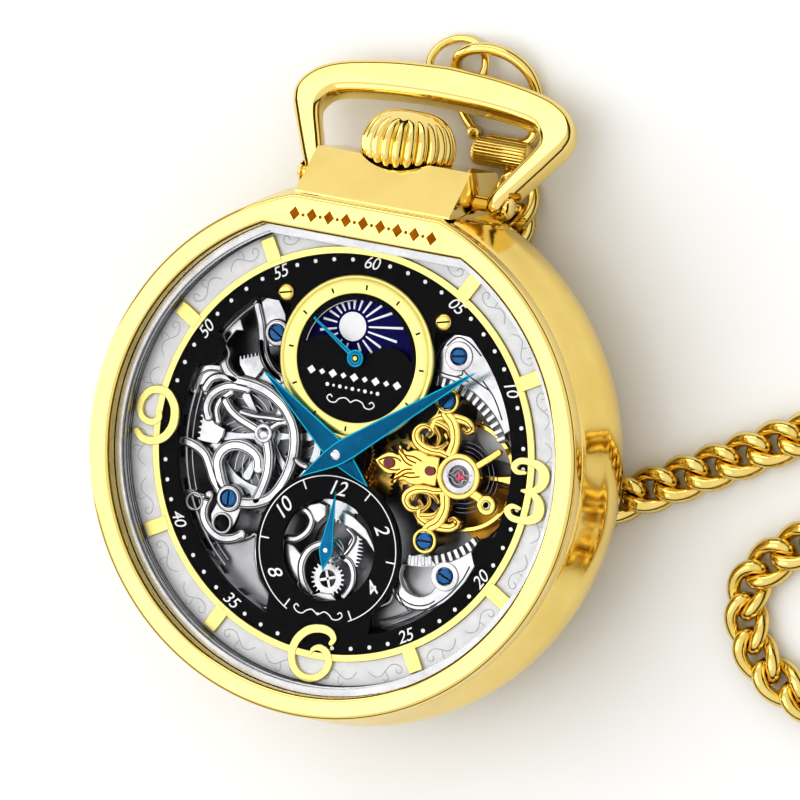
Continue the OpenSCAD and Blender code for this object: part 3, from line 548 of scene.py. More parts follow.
side_curve = smooth_line([(22.2, 5.62), (23.0, 6.35), (23.62, 7.4), (23.97, 9.1), (23.86, 10.6),
    (23.45, 12.1), (22.98, 13.9), (22.86, 14.35)], 8)
case_profile = side_curve + [(22.72, 14.62), (22.5, 14.74), (21.3, 14.74), (21.3, 13.5), (20.3, 13.5),
    (20.3, 5.62)]
pockets = [box(7.35, 21.7, 6.9, 10.75, 26, 14.9), box(-10.75, 21.7, 6.9, -7.35, 26, 14.9)]
stem_hole = lathe([(0, -5), (2.2, -5), (2.2, 8), (0, 8)], 48, (0, 20, 9.5), "Y", closed=False)
case_ring = cut(lathe(case_profile, 360), pockets + [stem_hole])
# The case's side takes the darker gold copy, painted shade.
add("case_band", case_ring, "case_side", "watch", ("case_middle",), smooth=25)


def cut_loop(r, y_cut, n=220):
    """Circle whose top is cut straight at y_cut."""
    a = asin(y_cut / r)
    pts = [(r * cos(t), r * sin(t)) for t in [pi - a + (pi + 2 * a) * i / n for i in range(n + 1)]]
    return pts


bezel = join([plate([cut_loop(22.9, 21.85), cut_loop(20.95, 18.76)], 15.02, 17, 0.42, 4),
    plate([cut_loop(22.28, 21.85), cut_loop(20.95, 18.76)], 14.76, 15.1, 0.02, 1)])
add("bezel", bezel, "case_gold", "watch", ("front_bezel",), smooth=32)

front = from_faces([(x, y, z) for x in (-7.3, 7.3) for y, z in ((20.0, 5.7), (22.4, 5.7), (25.4, 5.95),
    (25.9, 6.5), (25.9, 12.3), (22.05, 15.72), (20.0, 15.72))], [(0, 1, 2, 3, 4, 5, 6),
    (13, 12, 11, 10, 9, 8, 7)] + [(i, i + 7, (i + 1) % 7 + 7, (i + 1) % 7) for i in range(7)])
bm = bmesh.new()
bm.from_mesh(front)
bmesh.ops.recalc_face_normals(bm, faces=bm.faces)
bm.to_mesh(front)
bm.free()
notch = lathe([(0, 0), (3.3, 0), (4.25, 1.45), (4.6, 2.2), (4.6, 5), (0, 5)], 96, (0, 24.45, 9.5), "Y",
    closed=False)
round_case = lathe([(0, 4), (23.0, 4), (23.6, 7), (24.0, 9.1), (23.5, 12.0), (23.0, 14.0), (23.0, 14.75),
    (0, 14.75)], 256, closed=False)
block = cut(front, [notch, round_case, box(-12, 15, 14.74, 12, 21.87, 17.6)])
add("pendant_block", rounded(block, 0.3, 5, 25), "case_gold", "watch", ("pendant",), smooth=0)

# Engraved row of lozenges and dots on the bezel's top, in place of lettering.
marks = []
for i in range(-4, 5):
    x, y = i * 1.62, 20.3 - 0.012 * i * i
    marks.append(plate([[(x - 0.5, y), (x - 0.22, y + 0.34), (x, y + 0.62), (x + 0.22, y + 0.34),
        (x + 0.5, y), (x + 0.22, y - 0.34), (x, y - 0.62), (x - 0.22, y - 0.34)]], 16.9, 17.02, 0.02, 1))
    if i < 4:
        marks.append(plate([circle((x + 0.81, y - 0.02), 0.15, 20)], 16.9, 17.02, 0.02, 1))
add("bezel_engraving", join(marks), "amber", "watch")

# ---------------------------------------------------------------- bow and hinge

TILT = radians(31.5)
BOW = Matrix.Translation((0, 23.2, 8.6)) @ Matrix.Rotation(-TILT, 4, "X")
outer = smooth_line([(0, 12.33), (5, 11.97), (9.4, 11.15), (11.7, 10.15), (12.95, 8.85), (13.33, 7.5),
    (13.0, 6.1)], 8)
outer += [(11.8, 3.9), (10.3, 1.2), (9.66, 0.1), (9.3, -0.75), (8.7, -1.05), (8.05, -0.8), (7.82, 0.1)]
inner = smooth_line([(7.95, 0.6), (9.2, 3.4), (10.25, 5.7), (10.38, 6.7), (9.6, 7.75), (7.6, 8.28), (4, 8.66),
    (0, 8.8)], 8)
whole = outer + inner + [(-x, y) for x, y in inner[-2::-1]] + [(-x, y) for x, y in outer[:0:-1]]
bow_flat = plate([whole], -1.19, 1.19, 0.72, 6)
screw_room = [lathe([(0, -1.2), (1.42, -1.2), (1.42, 1.2), (0, 1.2)], 48, (s * 10.96, 0, 0), "X",
    closed=False) for s in (-1, 1)]
bow_flat = cut(bow_flat, screw_room)
add("bow_ring", moved(bow_flat, matrix=BOW), "bow_gold", "bow", ("bow",), smooth=40)
caps = []
for s in (-1, 1):
    prof = [(0, 0.42), (0.5, 0.4), (0.8, 0.3), (0.98, 0.12), (1.0, 0), (0.68, 0), (0.68, -2.4), (0.68, -4.4),
        (0, -4.4)]
    cap_mesh = lathe([(r, s * h) for r, h in prof], 64, (s * 9.8, 23.2, 8.6), "X", closed=False)
    caps.append(cap_mesh)
add("hinge_screws", join(caps), "bow_gold", "watch", ("bow_screws",))
loop_line = [(-2.35, 33.5, 1.85), (-2.5, 34.4, 1.5), (-2.05, 35.5, 1.02), (-1.0, 36.3, 0.62),
    (0.2, 36.55, 0.52), (1.35, 36.3, 0.62), (2.3, 35.5, 1.02), (2.75, 34.4, 1.5), (2.65, 33.5, 1.85)]
add("bow_wire", wire(loop_line, 0.38, sides=16), "bow_gold", "bow", ("bow_loop",), smooth=60)
hook_line = [(4.2, 28.2, 0.85), (6.6, 28.3, 0.82), (7.7, 28.8, 0.75), (8.05, 30, 0.62), (7.9, 31.6, 0.6),
    (7.55, 33.2, 0.78), (6.7, 34.7, 1.3), (5.2, 35.7, 1.75), (3.4, 36.1, 1.95), (1.6, 35.9, 1.95),
    (0.25, 35.2, 1.5), (-0.28, 34.3, 0.9), (-0.2, 33.3, 0.6)]
add("clasp_wire", wire(hook_line, 0.52, sides=16), "chain_gold", "bow", ("clasp_hook",),
    smooth=60)
gate = join([wire([(-0.15, 32.65, 0.58), (0.3, 31.3, 0.58), (1.1, 29.9, 0.6), (2.2, 28.75, 0.7)], 0.46,
    sides=14), lathe([(0, 0.2), (0.5, 0.2), (0.6, 0.3), (0.6, 1.2), (0.5, 1.3), (0, 1.3)], 48,
    (2.4, 28.6, 0), closed=False), lathe([(0, 1.3), (0.28, 1.3), (0.25, 1.38), (0, 1.4)], 32, (2.4, 28.6, 0),
    closed=False)])
add("clasp_lever", gate, "chain_gold", "gate", ("clasp_gate",), smooth=50)
barrel = [(0, -3.1), (0.9, -3.08), (1.2, -2.85), (1.28, -2.5), (1.28, 1.9), (1.16, 2.2), (0.9, 2.36),
    (0, 2.37)]
base = join([lathe(barrel, 96, (5.83, 27.15, 1.32), "X", closed=False, shape=lambda r, h,
    a: r * (1 - 0.035 * (cos(32 * a) < 0))), lathe([(0, -2), (0.5, -2), (0.58, -1.85), (0.58, 1.85), (0.5, 2),
    (0, 2)], 40, (5.7, 28.2, 0.85), "X", closed=False)])
add("clasp_barrel", base, "chain_gold", "bow", ("clasp_base",), smooth=40)

# ---------------------------------------------------------------- crown

FLUTES = 22
STEM_Z = 9.5
CROWN = (0, 24.7, STEM_Z)
PINION_TEETH = 14
crown_profile = smooth_line([(0.0, 5.4), (1.4, 5.36), (2.6, 5.0), (3.5, 4.25), (4.05, 3.2), (4.19, 2.3),
    (4.05, 1.35), (3.6, 0.55), (3.1, 0.05)], 6)


def flute(r, h, a):
    depth = 0.11 * max(0.0, min(1.0, (4.75 - h) / 0.5)) * max(0.0, min(1.0, h / 0.5))
    lobe = abs(cos(FLUTES * a / 2)) ** 0.7
    return r * (1 - depth * (1 - lobe))


crown_cap = lathe(crown_profile + [(2.4, 0.05), (2.4, 3.1), (0, 3.1)], FLUTES * 12, CROWN, "Y", closed=False,
    shape=flute)
stem = join([lathe([(0, -14.88), (0.5, -14.88), (0.64, -14.7), (0.64, 3.2), (0, 3.2)], 48, CROWN, "Y",
    closed=False), lathe([(0, 0), (1.18, 0), (1.22, 0.1), (1.22, 0.9), (1.18, 1), (0, 1)], PINION_TEETH * 8,
    (0, 10.2, STEM_Z), "Y", closed=False,
    shape=lambda r, h, a: r * (1 - 0.2 * (cos(PINION_TEETH * a) < 0)))])
add("crown_cap", crown_cap, "bow_gold", "crown", ("crown",), smooth=50)
add("crown_stem", stem, "silver", "crown")

# ---------------------------------------------------------------- dial furniture


def ring_loops(r_in, r_out, c=(0, 0), n=180):
    return [circle(c, r_out, n), circle(c, r_in, n)]


def below_chord(points, y_max=17.9):
    return [(x, min(y, y_max)) for x, y in points]


gold = [plate(ring_loops(17.4, 18.03), DIAL, DIAL + 0.26, 0.05, 2)]
for hour in (1, 2, 4, 5, 7, 8, 10, 11):
    a = -radians(30 * hour)
    top = 19.95
    block = [(-0.66, 17.72), (0.66, 17.72), (0.66, top), (-0.66, top)]
    loop = [(x * cos(a) - y * sin(a), x * sin(a) + y * cos(a)) for x, y in block]
    gold.append(plate([below_chord(loop, 17.85)], DIAL, DIAL + 0.31, 0.07, 2))
six = [plate([ribbon([(1.7, -16.4, 0.45), (1.9, -15.95, 0.6), (1.5, -15.45, 0.72), (0.6, -15.3, 0.76),
    (-0.5, -15.6, 0.78), (-1.35, -16.4, 0.78), (-1.76, -17.4, 0.76), (-1.74, -18.4, 0.72),
    (-1.2, -19.35, 0.7), (-0.2, -19.8, 0.68), (0.85, -19.55, 0.68), (1.6, -18.8, 0.68), (1.76, -17.9, 0.7),
    (1.36, -17.2, 0.7), (0.7, -16.95, 0.6), (0.12, -17.2, 0.42), (-0.02, -17.6, 0.26)])], DIAL, DIAL + 0.33,
    0.07)]
nine = [plate([ribbon([(-16.15, 0.3, 0.84), (-16.35, 1.3, 0.84), (-17.1, 2.25, 0.8), (-18.0, 2.45, 0.76),
    (-18.9, 2.15, 0.72), (-19.5, 1.3, 0.68), (-19.62, 0.4, 0.66)])], DIAL, DIAL + 0.33, 0.07),
    plate([ribbon([(-16.15, 0.45, 0.84), (-16.25, -0.55, 0.84), (-16.85, -1.55, 0.8), (-17.9, -2.1, 0.76),
    (-18.9, -2.05, 0.7), (-19.6, -1.5, 0.64)])], DIAL, DIAL + 0.34, 0.07),
    plate([ribbon([(-19.62, 0.55, 0.6), (-19.2, -0.25, 0.62), (-18.3, -0.5, 0.62), (-17.65, -0.1, 0.6),
    (-17.6, 0.35, 0.5)])], DIAL, DIAL + 0.335, 0.07)]
half_three = [(17.15, 1.55, 0.34), (16.4, 1.5, 0.5), (16.05, 1.95, 0.62), (16.5, 2.45, 0.62),
    (17.3, 2.55, 0.62), (18.2, 2.4, 0.8), (18.8, 1.95, 1.0), (18.95, 1.3, 1.02), (18.7, 0.6, 0.85),
    (18.1, 0.15, 0.55), (17.1, 0.02, 0.26)]
three = [plate([ribbon([(x, s * y, w) for x, y, w in half_three])], DIAL, DIAL + rise, 0.07)
    for s, rise in ((1, 0.33), (-1, 0.34))]
add("hour_figures", join(gold + six + nine + three), "dial_gold", "watch", ("hour_markers",),
    smooth=30)

upper = lathe([(5.6, 13.8), (5.62, 13.98), (5.7, 14.02), (6.72, 14.02), (6.82, 13.96), (6.9, 14.02),
    (7.12, 14.05), (7.22, 13.98), (7.25, 13.8)], 240, (0, SUB, 0), closed=True)
add("upper_ring", upper, "dial_gold", "watch", ("upper_subdial",), smooth=40)
ticks = [plate([[(-0.085, 5.98), (0.085, 5.98), (0.085, 6.42), (-0.085, 6.42)]], 14.015, 14.035, 0.005,
    0) for _ in range(12)]
ticks = [moved(moved(t, turn=radians(30 * i)), 0, SUB) for i, t in enumerate(ticks)]
add("upper_ticks", join(ticks), "black_print_and_slot_shade", "watch")

white = []
for i in range(60):
    if i % 5 == 0:
        continue
    a = radians(90 - 6 * i)
    white.append(plate([circle((16.9 * cos(a), 16.9 * sin(a)), 0.19, 20)], DIAL, DIAL + PRINT, 0.006, 1))
for text, hour, flip in (("60", 0, 0), ("05", 1, 0), ("10", 2, 0), ("20", 4, 1), ("25", 5, 1), ("35", 7, 1),
    ("40", 8, 1), ("50", 10, 0), ("55", 11, 0)):
    a = -radians(30 * hour)
    x, y = 16.75 * sin(-a), 16.75 * cos(a)
    white.append(moved(number(text, 0, 0, 1.08, 0, 0.26, 0.008), x, y, DIAL + 0.012, a + (pi if flip else 0)))
# Printed ornament in the upper sub-dial, in place of lettering.
for i in range(-4, 5):
    x = i * 1.02
    w = 0.3 if i % 2 else 0.42
    white.append(plate([[(x - w, 6.75), (x, 6.75 + w * 0.95), (x + w, 6.75), (x, 6.75 - w * 0.95)]], DIAL,
        DIAL + PRINT, 0.006, 1))
for i in range(-4, 5):
    white.append(plate([circle((i * 0.6, 5.75), 0.13 if i % 2 else 0.18, 16)], DIAL, DIAL + PRINT, 0.006, 1))
for s in (-1, 1):
    white.append(wire([(0, 4.55, DIAL + 0.01), (s * 0.5, 4.85, DIAL + 0.01), (s * 1.1, 4.7, DIAL + 0.01),
        (s * 1.4, 4.35, DIAL + 0.01), (s * 1.9, 4.3, DIAL + 0.01), (s * 2.25, 4.62, DIAL + 0.01),
        (s * 2.0, 4.92, DIAL + 0.01), (s * 1.75, 4.72, DIAL + 0.01)], 0.06, sides=8, flat=0.25))
# Lower sub-dial: circle, ticks and hours.
sub_top = DIAL + 0.15
gap = 27
white.append(wire([(6.46 * cos(radians(a)), 6.46 * sin(radians(a)) - SUB, sub_top + 0.005)
    for a in range(-90 + gap, 271 - gap, 3)], 0.055, sides=8, per=2, flat=0.25))
for hour in (1, 3, 5, 7, 9, 11):
    t = plate([[(-0.07, 5.6), (0.07, 5.6), (0.07, 6.42), (-0.07, 6.42)]], sub_top, sub_top + PRINT, 0.005, 0)
    white.append(moved(moved(t, turn=-radians(30 * hour)), 0, -SUB))
for text, hour, flip in (("12", 0, 0), ("2", 2, 0), ("4", 4, 1), ("8", 8, 1), ("10", 10, 0)):
    a = -radians(30 * hour)
    x, y = 5.42 * sin(-a), 5.42 * cos(a) - SUB
    white.append(moved(number(text, 0, 0, 1.3, 0, 0.3, 0.01), x, y, sub_top + 0.012, a + (pi if flip else 0)))
for s in (-1, 1):
    z = sub_top + 0.008
    white.append(wire([(s * 0.15, -14.1, z), (s * 0.6, -13.82, z), (s * 1.1, -14.0, z), (s * 1.45, -14.3, z),
        (s * 1.95, -14.25, z), (s * 2.3, -13.9, z), (s * 2.1, -13.6, z), (s * 1.85, -13.8, z)], 0.06, sides=8,
        flat=0.25))
white.append(plate([circle((0, -14.1), 0.14, 20)], sub_top, sub_top + PRINT, 0.005, 1))
add("dial_print", join(white), "white", "watch", smooth=0)

# Window rim lines beside the sun disc.
rim_lines = [wire([(5.0 * cos(radians(a)), 5.0 * sin(radians(a)) + SUB, DIAL + 0.005)
    for a in range(100, 178, 6)], 0.05, sides=8, flat=0.3)]
add("window_rim", join(rim_lines), "engraving", "watch")

# Sun printed on the turning disc.
sx, sy = -1.12, 11.02
sun = [plate([circle((sx, sy), 1.28, 48)], 13.15, 13.17, 0.006, 1)]
rays = ((8, 4.75), (-8, 4.35), (27, 3.9), (43, 3.3), (60, 2.9), (77, 2.55), (94, 2.45), (110, 2.35),
    (126, 2.35), (141, 2.4), (157, 2.55), (175, 2.85), (195, 3.1), (212, 3.6), (-25, 3.2), (-42, 2.9),
    (-62, 2.3), (238, 2.3), (262, 2.2))
for a, far in rays:
    t = radians(a)
    c, s = cos(t), sin(t)
    reach = far
    while reach > 1.6 and hypot(sx + reach * c, sy + reach * s - SUB) > 5.05:
        reach -= 0.1
    w0, w1 = 0.08, 0.12
    sun.append(plate([[(sx + 1.5 * c - w0 * s, sy + 1.5 * s + w0 * c), (sx + reach * c - w1 * s,
        sy + reach * s + w1 * c), (sx + reach * c + w1 * s, sy + reach * s - w1 * c),
        (sx + 1.5 * c + w0 * s, sy + 1.5 * s - w0 * c)]], 13.15, 13.17, 0.006, 1))
add("sun_print", join(sun), "white", "sun_disc", smooth=0)

# Dark lines round the opening's wall at its steps: painted shade.
wall = [wire([(x, y, z) for x, y in cut_loop(r, cut_y, 160)], 0.035, closed=True, sides=6, per=1)
    for r, cut_y, z in ((20.14, 17.94, 14.02), (20.14, 17.94, 14.4), (20.14, 17.94, 14.85),
    (20.5, 18.3, 15.24))]
add("wall_lines", join(wall), "shade_line", "watch")

# Engraved scrolls round the silver ring.
scrolls = []
for base_a in list(range(0, 360, 30)):
    for s in (-1, 1):
        pts = []
        for da, r in ((1.6, 18.95), (3.2, 19.45), (5.0, 19.5), (6.6, 19.1), (8.2, 18.75), (10.0, 18.8),
            (11.2, 19.2), (10.6, 19.6), (9.6, 19.5), (9.5, 19.2)):
            t = radians(base_a + 15 + s * da)
            pts.append((r * cos(t), r * sin(t), 13.752))
        if max(p[1] for p in pts) < 18.5:
            scrolls.append(wire(pts, 0.035, sides=6, per=5, flat=0.5))
        pts = []
        for da, r in ((6.5, 19.2), (6.9, 19.8), (6.1, 20.05), (5.5, 19.8)):
            t = radians(base_a + 15 + s * da)
            pts.append((r * cos(t), r * sin(t), 13.752))
        if max(p[1] for p in pts) < 18.5:
            scrolls.append(wire(pts, 0.03, sides=6, per=5, flat=0.5))
add("scrolls", join(scrolls), "engraving", "watch")

dots = []
for s in (-1, 1):
    c = (s * 7.5, 12.95)
    head = lathe([(0, 14.08), (0.45, 14.07), (0.66, 14.0), (0.74, 13.9), (0.74, 13.81), (0.4, 13.81),
        (0.4, 13.1), (0, 13.1)], 64, (*c, 0), closed=False)
    dots.append(cut(head, [moved(box(-1, -0.08, 0, 1, 0.08, 1), c[0], c[1], 13.97, 0.25)]))
add("dial_screw_heads", join(dots), "bridge_gold", "watch", ("dial_screws",))

# ---------------------------------------------------------------- hands


def blade(outline, z, edge, rise):
    """Border plate and ridged face of a hand; outline is its right side from tip to tail."""
    border = plate([outline + [(-x, y) for x, y in outline[-2:0:-1]]], z, z + 0.17, 0.05, 2)
    inner = [(0, outline[0][1] - 4 * edge)] + [(max(x - edge, 0.02), y)
        for x, y in outline[1:-1]] + [(0, outline[-1][1] + 2.5 * edge)]
    n = len(inner)
    top = z + 0.172
    verts = [(0, y, top + rise * min(1, x / 0.5)) for x, y in inner]
    faces = []
    for s in (1, -1):
        base = len(verts)
        verts += [(s * x, y, top) for x, y in inner[1:-1]]
        rows = [0] + list(range(base, base + n - 2)) + [n - 1]
        for i in range(n - 1):
            quad = [i, i + 1] + ([rows[i + 1]] if i + 1 < n - 1 else []) + ([rows[i]] if i else [])
            faces.append(tuple(quad) if s > 0 else tuple(quad[::-1]))
    return border, from_faces(verts, faces)


def hand(name, outline, z, edge, rise, turn, body, node, c=(0, 0), pin=0.0, pin_top=0.0):
    place = Matrix.Translation((*c, 0)) @ Matrix.Rotation(-radians(turn), 4, "Z")
    border, face = blade(outline, z, edge, rise)
    add(name + "_border", moved(border, matrix=place), "blue_edge", body, (node,))
    add(name + "_face", moved(face, matrix=place), "blue", body, smooth=12)
    if pin:
        cap = lathe([(0, pin_top), (pin * 0.7, pin_top - 0.03), (pin, pin_top - 0.12), (pin, z - 0.05),
            (0, z - 0.05)], 48, (*c, 0), closed=False)
        add(name + "_pin", cap, "silver", body)


hand("hour", [(0, 10.1), (0.12, 9.55), (0.40, 7.2), (0.76, 3.6), (0.97, 1.5), (1.0, 0.5), (0.9, -0.6),
    (0.55, -2.1), (0, -3.9)], 14.46, 0.12, 0.26, -54.1, "hour", "hour_hand")
hand("minute", [(0, 14.9), (0.12, 14.3), (0.33, 12.0), (0.60, 7.5), (0.86, 3.4), (0.99, 1.2), (0.97, 0.2),
    (0.82, -0.9), (0.47, -2.3), (0, -4.0)], 14.96, 0.12, 0.26, 51.3, "minute", "minute_hand", pin=0.44,
    pin_top=15.5)
hand("dual", [(0, 5.2), (0.3, 2.6), (0.62, 0.3), (0.66, -0.1), (0.45, -0.8), (0, -1.85)], 14.12, 0.09, 0.1,
    1.0, "dual", "dual_hand", c=(0, -SUB), pin=0.27, pin_top=14.42)
a = radians(57.2)
sec = join([washer((0, 0), 0.76, 0.32, (64, 40), 14.12, 14.27, 0.04, 2),
    plate([[(-0.2, 0.6), (0.2, 0.6), (0.14, 3.4), (0.1, 5.25), (-0.1, 5.25), (-0.14, 3.4)]], 14.12, 14.25,
    0.03, 2)])
add("seconds_ring", moved(moved(sec, turn=a), 0, SUB), "blue_edge", "seconds",
    ("seconds_hand",))
sec2 = join([washer((0, 0), 0.66, 0.4, (64, 40), 14.27, 14.285, 0.005, 1), plate([[(-0.1, 0.7), (0.1, 0.7),
    (0.07, 3.4), (0.04, 5.15), (-0.04, 5.15), (-0.07, 3.4)]], 14.25, 14.265, 0.004, 1)])
add("seconds_face", moved(moved(sec2, turn=a), 0, SUB), "blue", "seconds")
cannon = lathe([(0.45, 11.46), (0.72, 11.46), (0.72, 14.95), (0.45, 14.95)], 64)
add("cannon_tube", cannon, "steel", "minute")
hour_tube = lathe([(0.8, 12.26), (1.13, 12.26), (1.13, 14.46), (0.8, 14.46)], 64)
hour_gear_loop = []
for i in range(40):
    for k, (da, r) in enumerate(((-0.25, 2.27), (-0.1, 2.49), (0.1, 2.49), (0.25, 2.27))):
        t = radians(9 * (i + da))
        hour_gear_loop.append((r * cos(t), r * sin(t)))
add("hour_wheel", join([hour_tube, plate([hour_gear_loop, circle((0, 0), 0.85, 48)], 12.25, 12.5, 0.03, 1)]),
    "wheel_brass", "hour")

# ---------------------------------------------------------------- movement


def teeth(c, n, root, tip, lift=0.0, half=0.22):
    """Outline of a gear with a tooth at angle zero."""
    out = []
    for i in range(n):
        for da, r in ((-0.5 + 0.04, root), (-half - 0.08, root), (-half + 0.06, tip), (half - 0.06, tip),
            (half + 0.08, root)):
            t = 2 * pi * (i + da) / n + lift
            out.append((c[0] + r * cos(t), c[1] + r * sin(t)))
    return out


# Thin dark wires laid on the bridges, gathered here: painted shade standing for grooves, edges and the gaps
# round screws.
groove_shade_lines = []
LEFT_SCREWS = ((-8.2, 9.2), (-10.4, -5.9))
RIGHT_SCREWS = ((9.0, 10.2), (10.8, -8.8))
COCK_SCREWS = ((8.7, 6.25), (8.6, -6.05))
STUD = (13.75, -1.98)  # holder of the hairspring's outer end
RIM_C = (7.22, -0.11)  # centre of the notched rim


def strap(points, z0, z1, line=0.42, dx=NEAR[0], dy=NEAR[1], bevel=0.22):
    """Bevelled strap; points are x, y, width. With line set it gets a thin dark line near each edge, painted
    shade standing for a groove.
    """
    pts = [(x + dx, y + dy, w * (1.14 if line else 1)) for x, y, w in points]
    if line:
        run = smooth_line(pts, 4)
        for s in (-0.27, 0.27):
            side_line = []
            for i, (x, y, w) in enumerate(run):
                a, b = run[max(i - 1, 0)], run[min(i + 1, len(run) - 1)]
                d = hypot(b[0] - a[0], b[1] - a[1]) or 1
                side_line.append((x - (b[1] - a[1]) / d * w * s, y + (b[0] - a[0]) / d * w * s, z1 + 0.005))
            groove_shade_lines.append(wire(side_line, 0.045, sides=6, per=2, flat=0.5))
    return [plate([ribbon(pts)], z0, z1, bevel, 3)]


def wide(w, *points):
    return [(x, y, w) for x, y in points]


SILVER_Z = (12.1, 12.86)
silver = []
for pts in (wide(0.95, (-10.9, 4.45), (-9.3, 4.35), (-7.8, 3.95), (-6.3, 3.05), (-5.25, 1.8), (-4.75, 0.4),
    (-4.72, -1.5), (-5.2, -3.4), (-6.15, -4.95), (-7.6, -5.75), (-9.1, -6.0)),
    wide(0.75, (-10.15, 11.3), (-9.55, 9.9), (-9.2, 8.5), (-8.9, 7.4), (-8.1, 6.2), (-7.0, 5.3)),
    wide(0.7, (-9.2, 8.3), (-8.8, 6.9), (-7.9, 5.9), (-6.7, 5.4)),
    wide(0.85, (-10.6, 11.6), (-11.6, 10.6), (-12.6, 9.4), (-13.4, 8.2), (-13.0, 7.3), (-12.45, 6.7),
    (-12.5, 5.9), (-12.0, 5.1), (-11.2, 4.6)), wide(0.8, (-13.2, 0.9), (-13.5, 1.7), (-13.2, 2.8),
    (-12.3, 3.6), (-11.3, 3.95), (-9.9, 3.95)), wide(0.6, (-12.2, 0.7), (-12.5, 1.7), (-12.2, 2.6),
    (-11.4, 3.35)), wide(0.75, (-12.0, 2.75), (-11.2, 1.85), (-10.2, 1.25), (-9.1, 0.85), (-8.3, 0.55)),
    wide(0.6, (-7.2, 0.9), (-6.5, 1.5), (-5.9, 1.7)), wide(0.5, (-10.1, 1.85), (-8.8, 1.75), (-7.3, 1.85),
    (-6.1, 1.9)), wide(0.85, (-7.35, -0.2), (-6.95, -1.5), (-6.85, -2.9), (-7.1, -4.2), (-7.5, -5.5)),
    wide(0.95, (-7.75, -2.7), (-8.0, -1.8), (-8.8, -1.25), (-9.8, -1.05), (-10.8, -1.3), (-11.5, -2.0),
    (-11.7, -2.9), (-11.3, -4.1), (-10.9, -4.9)), wide(0.85, (-15.1, -1.6), (-14.0, -1.85), (-13.0, -2.4),
    (-12.4, -3.3), (-11.8, -4.4), (-11.1, -5.2)), wide(0.8, (-12.0, -5.9), (-12.3, -6.9), (-12.2, -7.9),
    (-11.5, -8.8), (-10.4, -9.35), (-9.2, -9.2), (-8.4, -8.7)), wide(0.7, (-14.9, 3.0), (-14.8, 4.3),
    (-14.0, 5.1), (-12.9, 5.3)), wide(0.7, (-13.9, 3.3), (-13.4, 4.2), (-12.5, 4.6), (-11.2, 4.5)),
    wide(0.55, (-4.5, -1.2), (-3.9, -1.6), (-3.3, -1.75)), wide(0.55, (-13.9, -5.9), (-12.9, -6.1),
    (-11.9, -6.2))):
    silver += strap(pts, *SILVER_Z)
for c, r_out, r_in in (((-7.7, 0.42), 0.86, 0.46), ((-13.25, -6.65), 0.88, 0.6),
    ((-10.35, -8.05), 0.98, 0.7)):
    c = (c[0] - 0.38, c[1] - 0.11)
    silver.append(washer(c, r_out, r_in, (48, 48), 12.1, 12.96, 0.12, 2))
for c in LEFT_SCREWS:
    silver.append(washer(c, 1.22, 0.78, (64, 48), 12.1, 12.92, 0.12, 2))
    silver.append(washer(c, 1.02, 0.8, (64, 48), 12.9, 13.02, 0.05, 2))
    silver.append(lathe([(0, 12.5), (0.8, 12.5), (0.8, 12.1), (0, 12.1)], 40, (*c, 0), closed=False))
saw = [(-13.75, 3.3), (-13.3, 2.2), (-13.2, 1.2), (-12.5, 0.4), (-11.5, 0.1), (-11.6, -0.6), (-12.0, -1.35),
    (-13.4, -1.35)]
for i in range(9):
    y = -1.3 + i * 0.5
    saw += [(-13.75, y), (-14.0, y + 0.1), (-14.0, y + 0.22), (-13.75, y + 0.32)]
silver.append(plate([shifted(saw, -0.5, -0.14)], 12.02, 12.4, 0.05, 1))
saw = [(-8.5, 6.4), (-9.3, 5.0), (-10.3, 5.1), (-11.0, 5.9)]
for i in range(7):
    x, y = -11.1 + i * 0.34, 6.35 + i * 0.13
    saw += [(x, y), (x - 0.03, y + 0.3), (x + 0.13, y + 0.36), (x + 0.2, y + 0.08)]
silver.append(plate([shifted(saw, -0.5, -0.14)], 12.02, 12.4, 0.05, 1))
top_plate = shifted([(-9.9, 11.7), (-9.2, 12.4), (-8.2, 12.2), (-7.4, 11.0), (-7.0, 9.4), (-7.5, 8.2),
    (-8.5, 7.9), (-9.15, 9.2), (-9.5, 10.5)], *NEAR)
silver.append(plate([top_plate, circle((-8.2, 9.2), 0.79, 48)], 12.1, 12.6, 0.1, 2))
shoulder = shifted([(-13.55, 8.0), (-12.9, 9.4), (-11.9, 10.8), (-10.8, 12.0), (-10.2, 12.3), (-10.0, 11.6),
    (-10.9, 10.9), (-11.6, 9.9), (-11.1, 8.9), (-11.8, 8.8), (-12.4, 7.9), (-12.7, 7.0)], -0.45, -0.13)
silver.append(plate([shoulder], 12.05, 12.5, 0.1, 2))
tail_plate = shifted([(-11.2, -6.4), (-8.8, -6.5), (-9.2, -7.9), (-9.7, -8.8), (-10.6, -9.0), (-11.4, -8.5),
    (-11.6, -7.5)], *NEAR)
silver.append(plate([tail_plate, circle((-10.73, -8.16), 0.7, 40)], 12.1, 12.7, 0.1, 2))
corner = shifted([(-14.6, 3.4), (-14.4, 4.7), (-13.2, 5.25), (-12.2, 5.0), (-12.5, 4.2), (-13.6, 3.7)], *NEAR)
silver.append(plate([corner], 12.1, 12.7, 0.1, 2))
add("left_bridge", join(silver), "bridge_silver", "watch", ("barrel_bridge",), smooth=40)

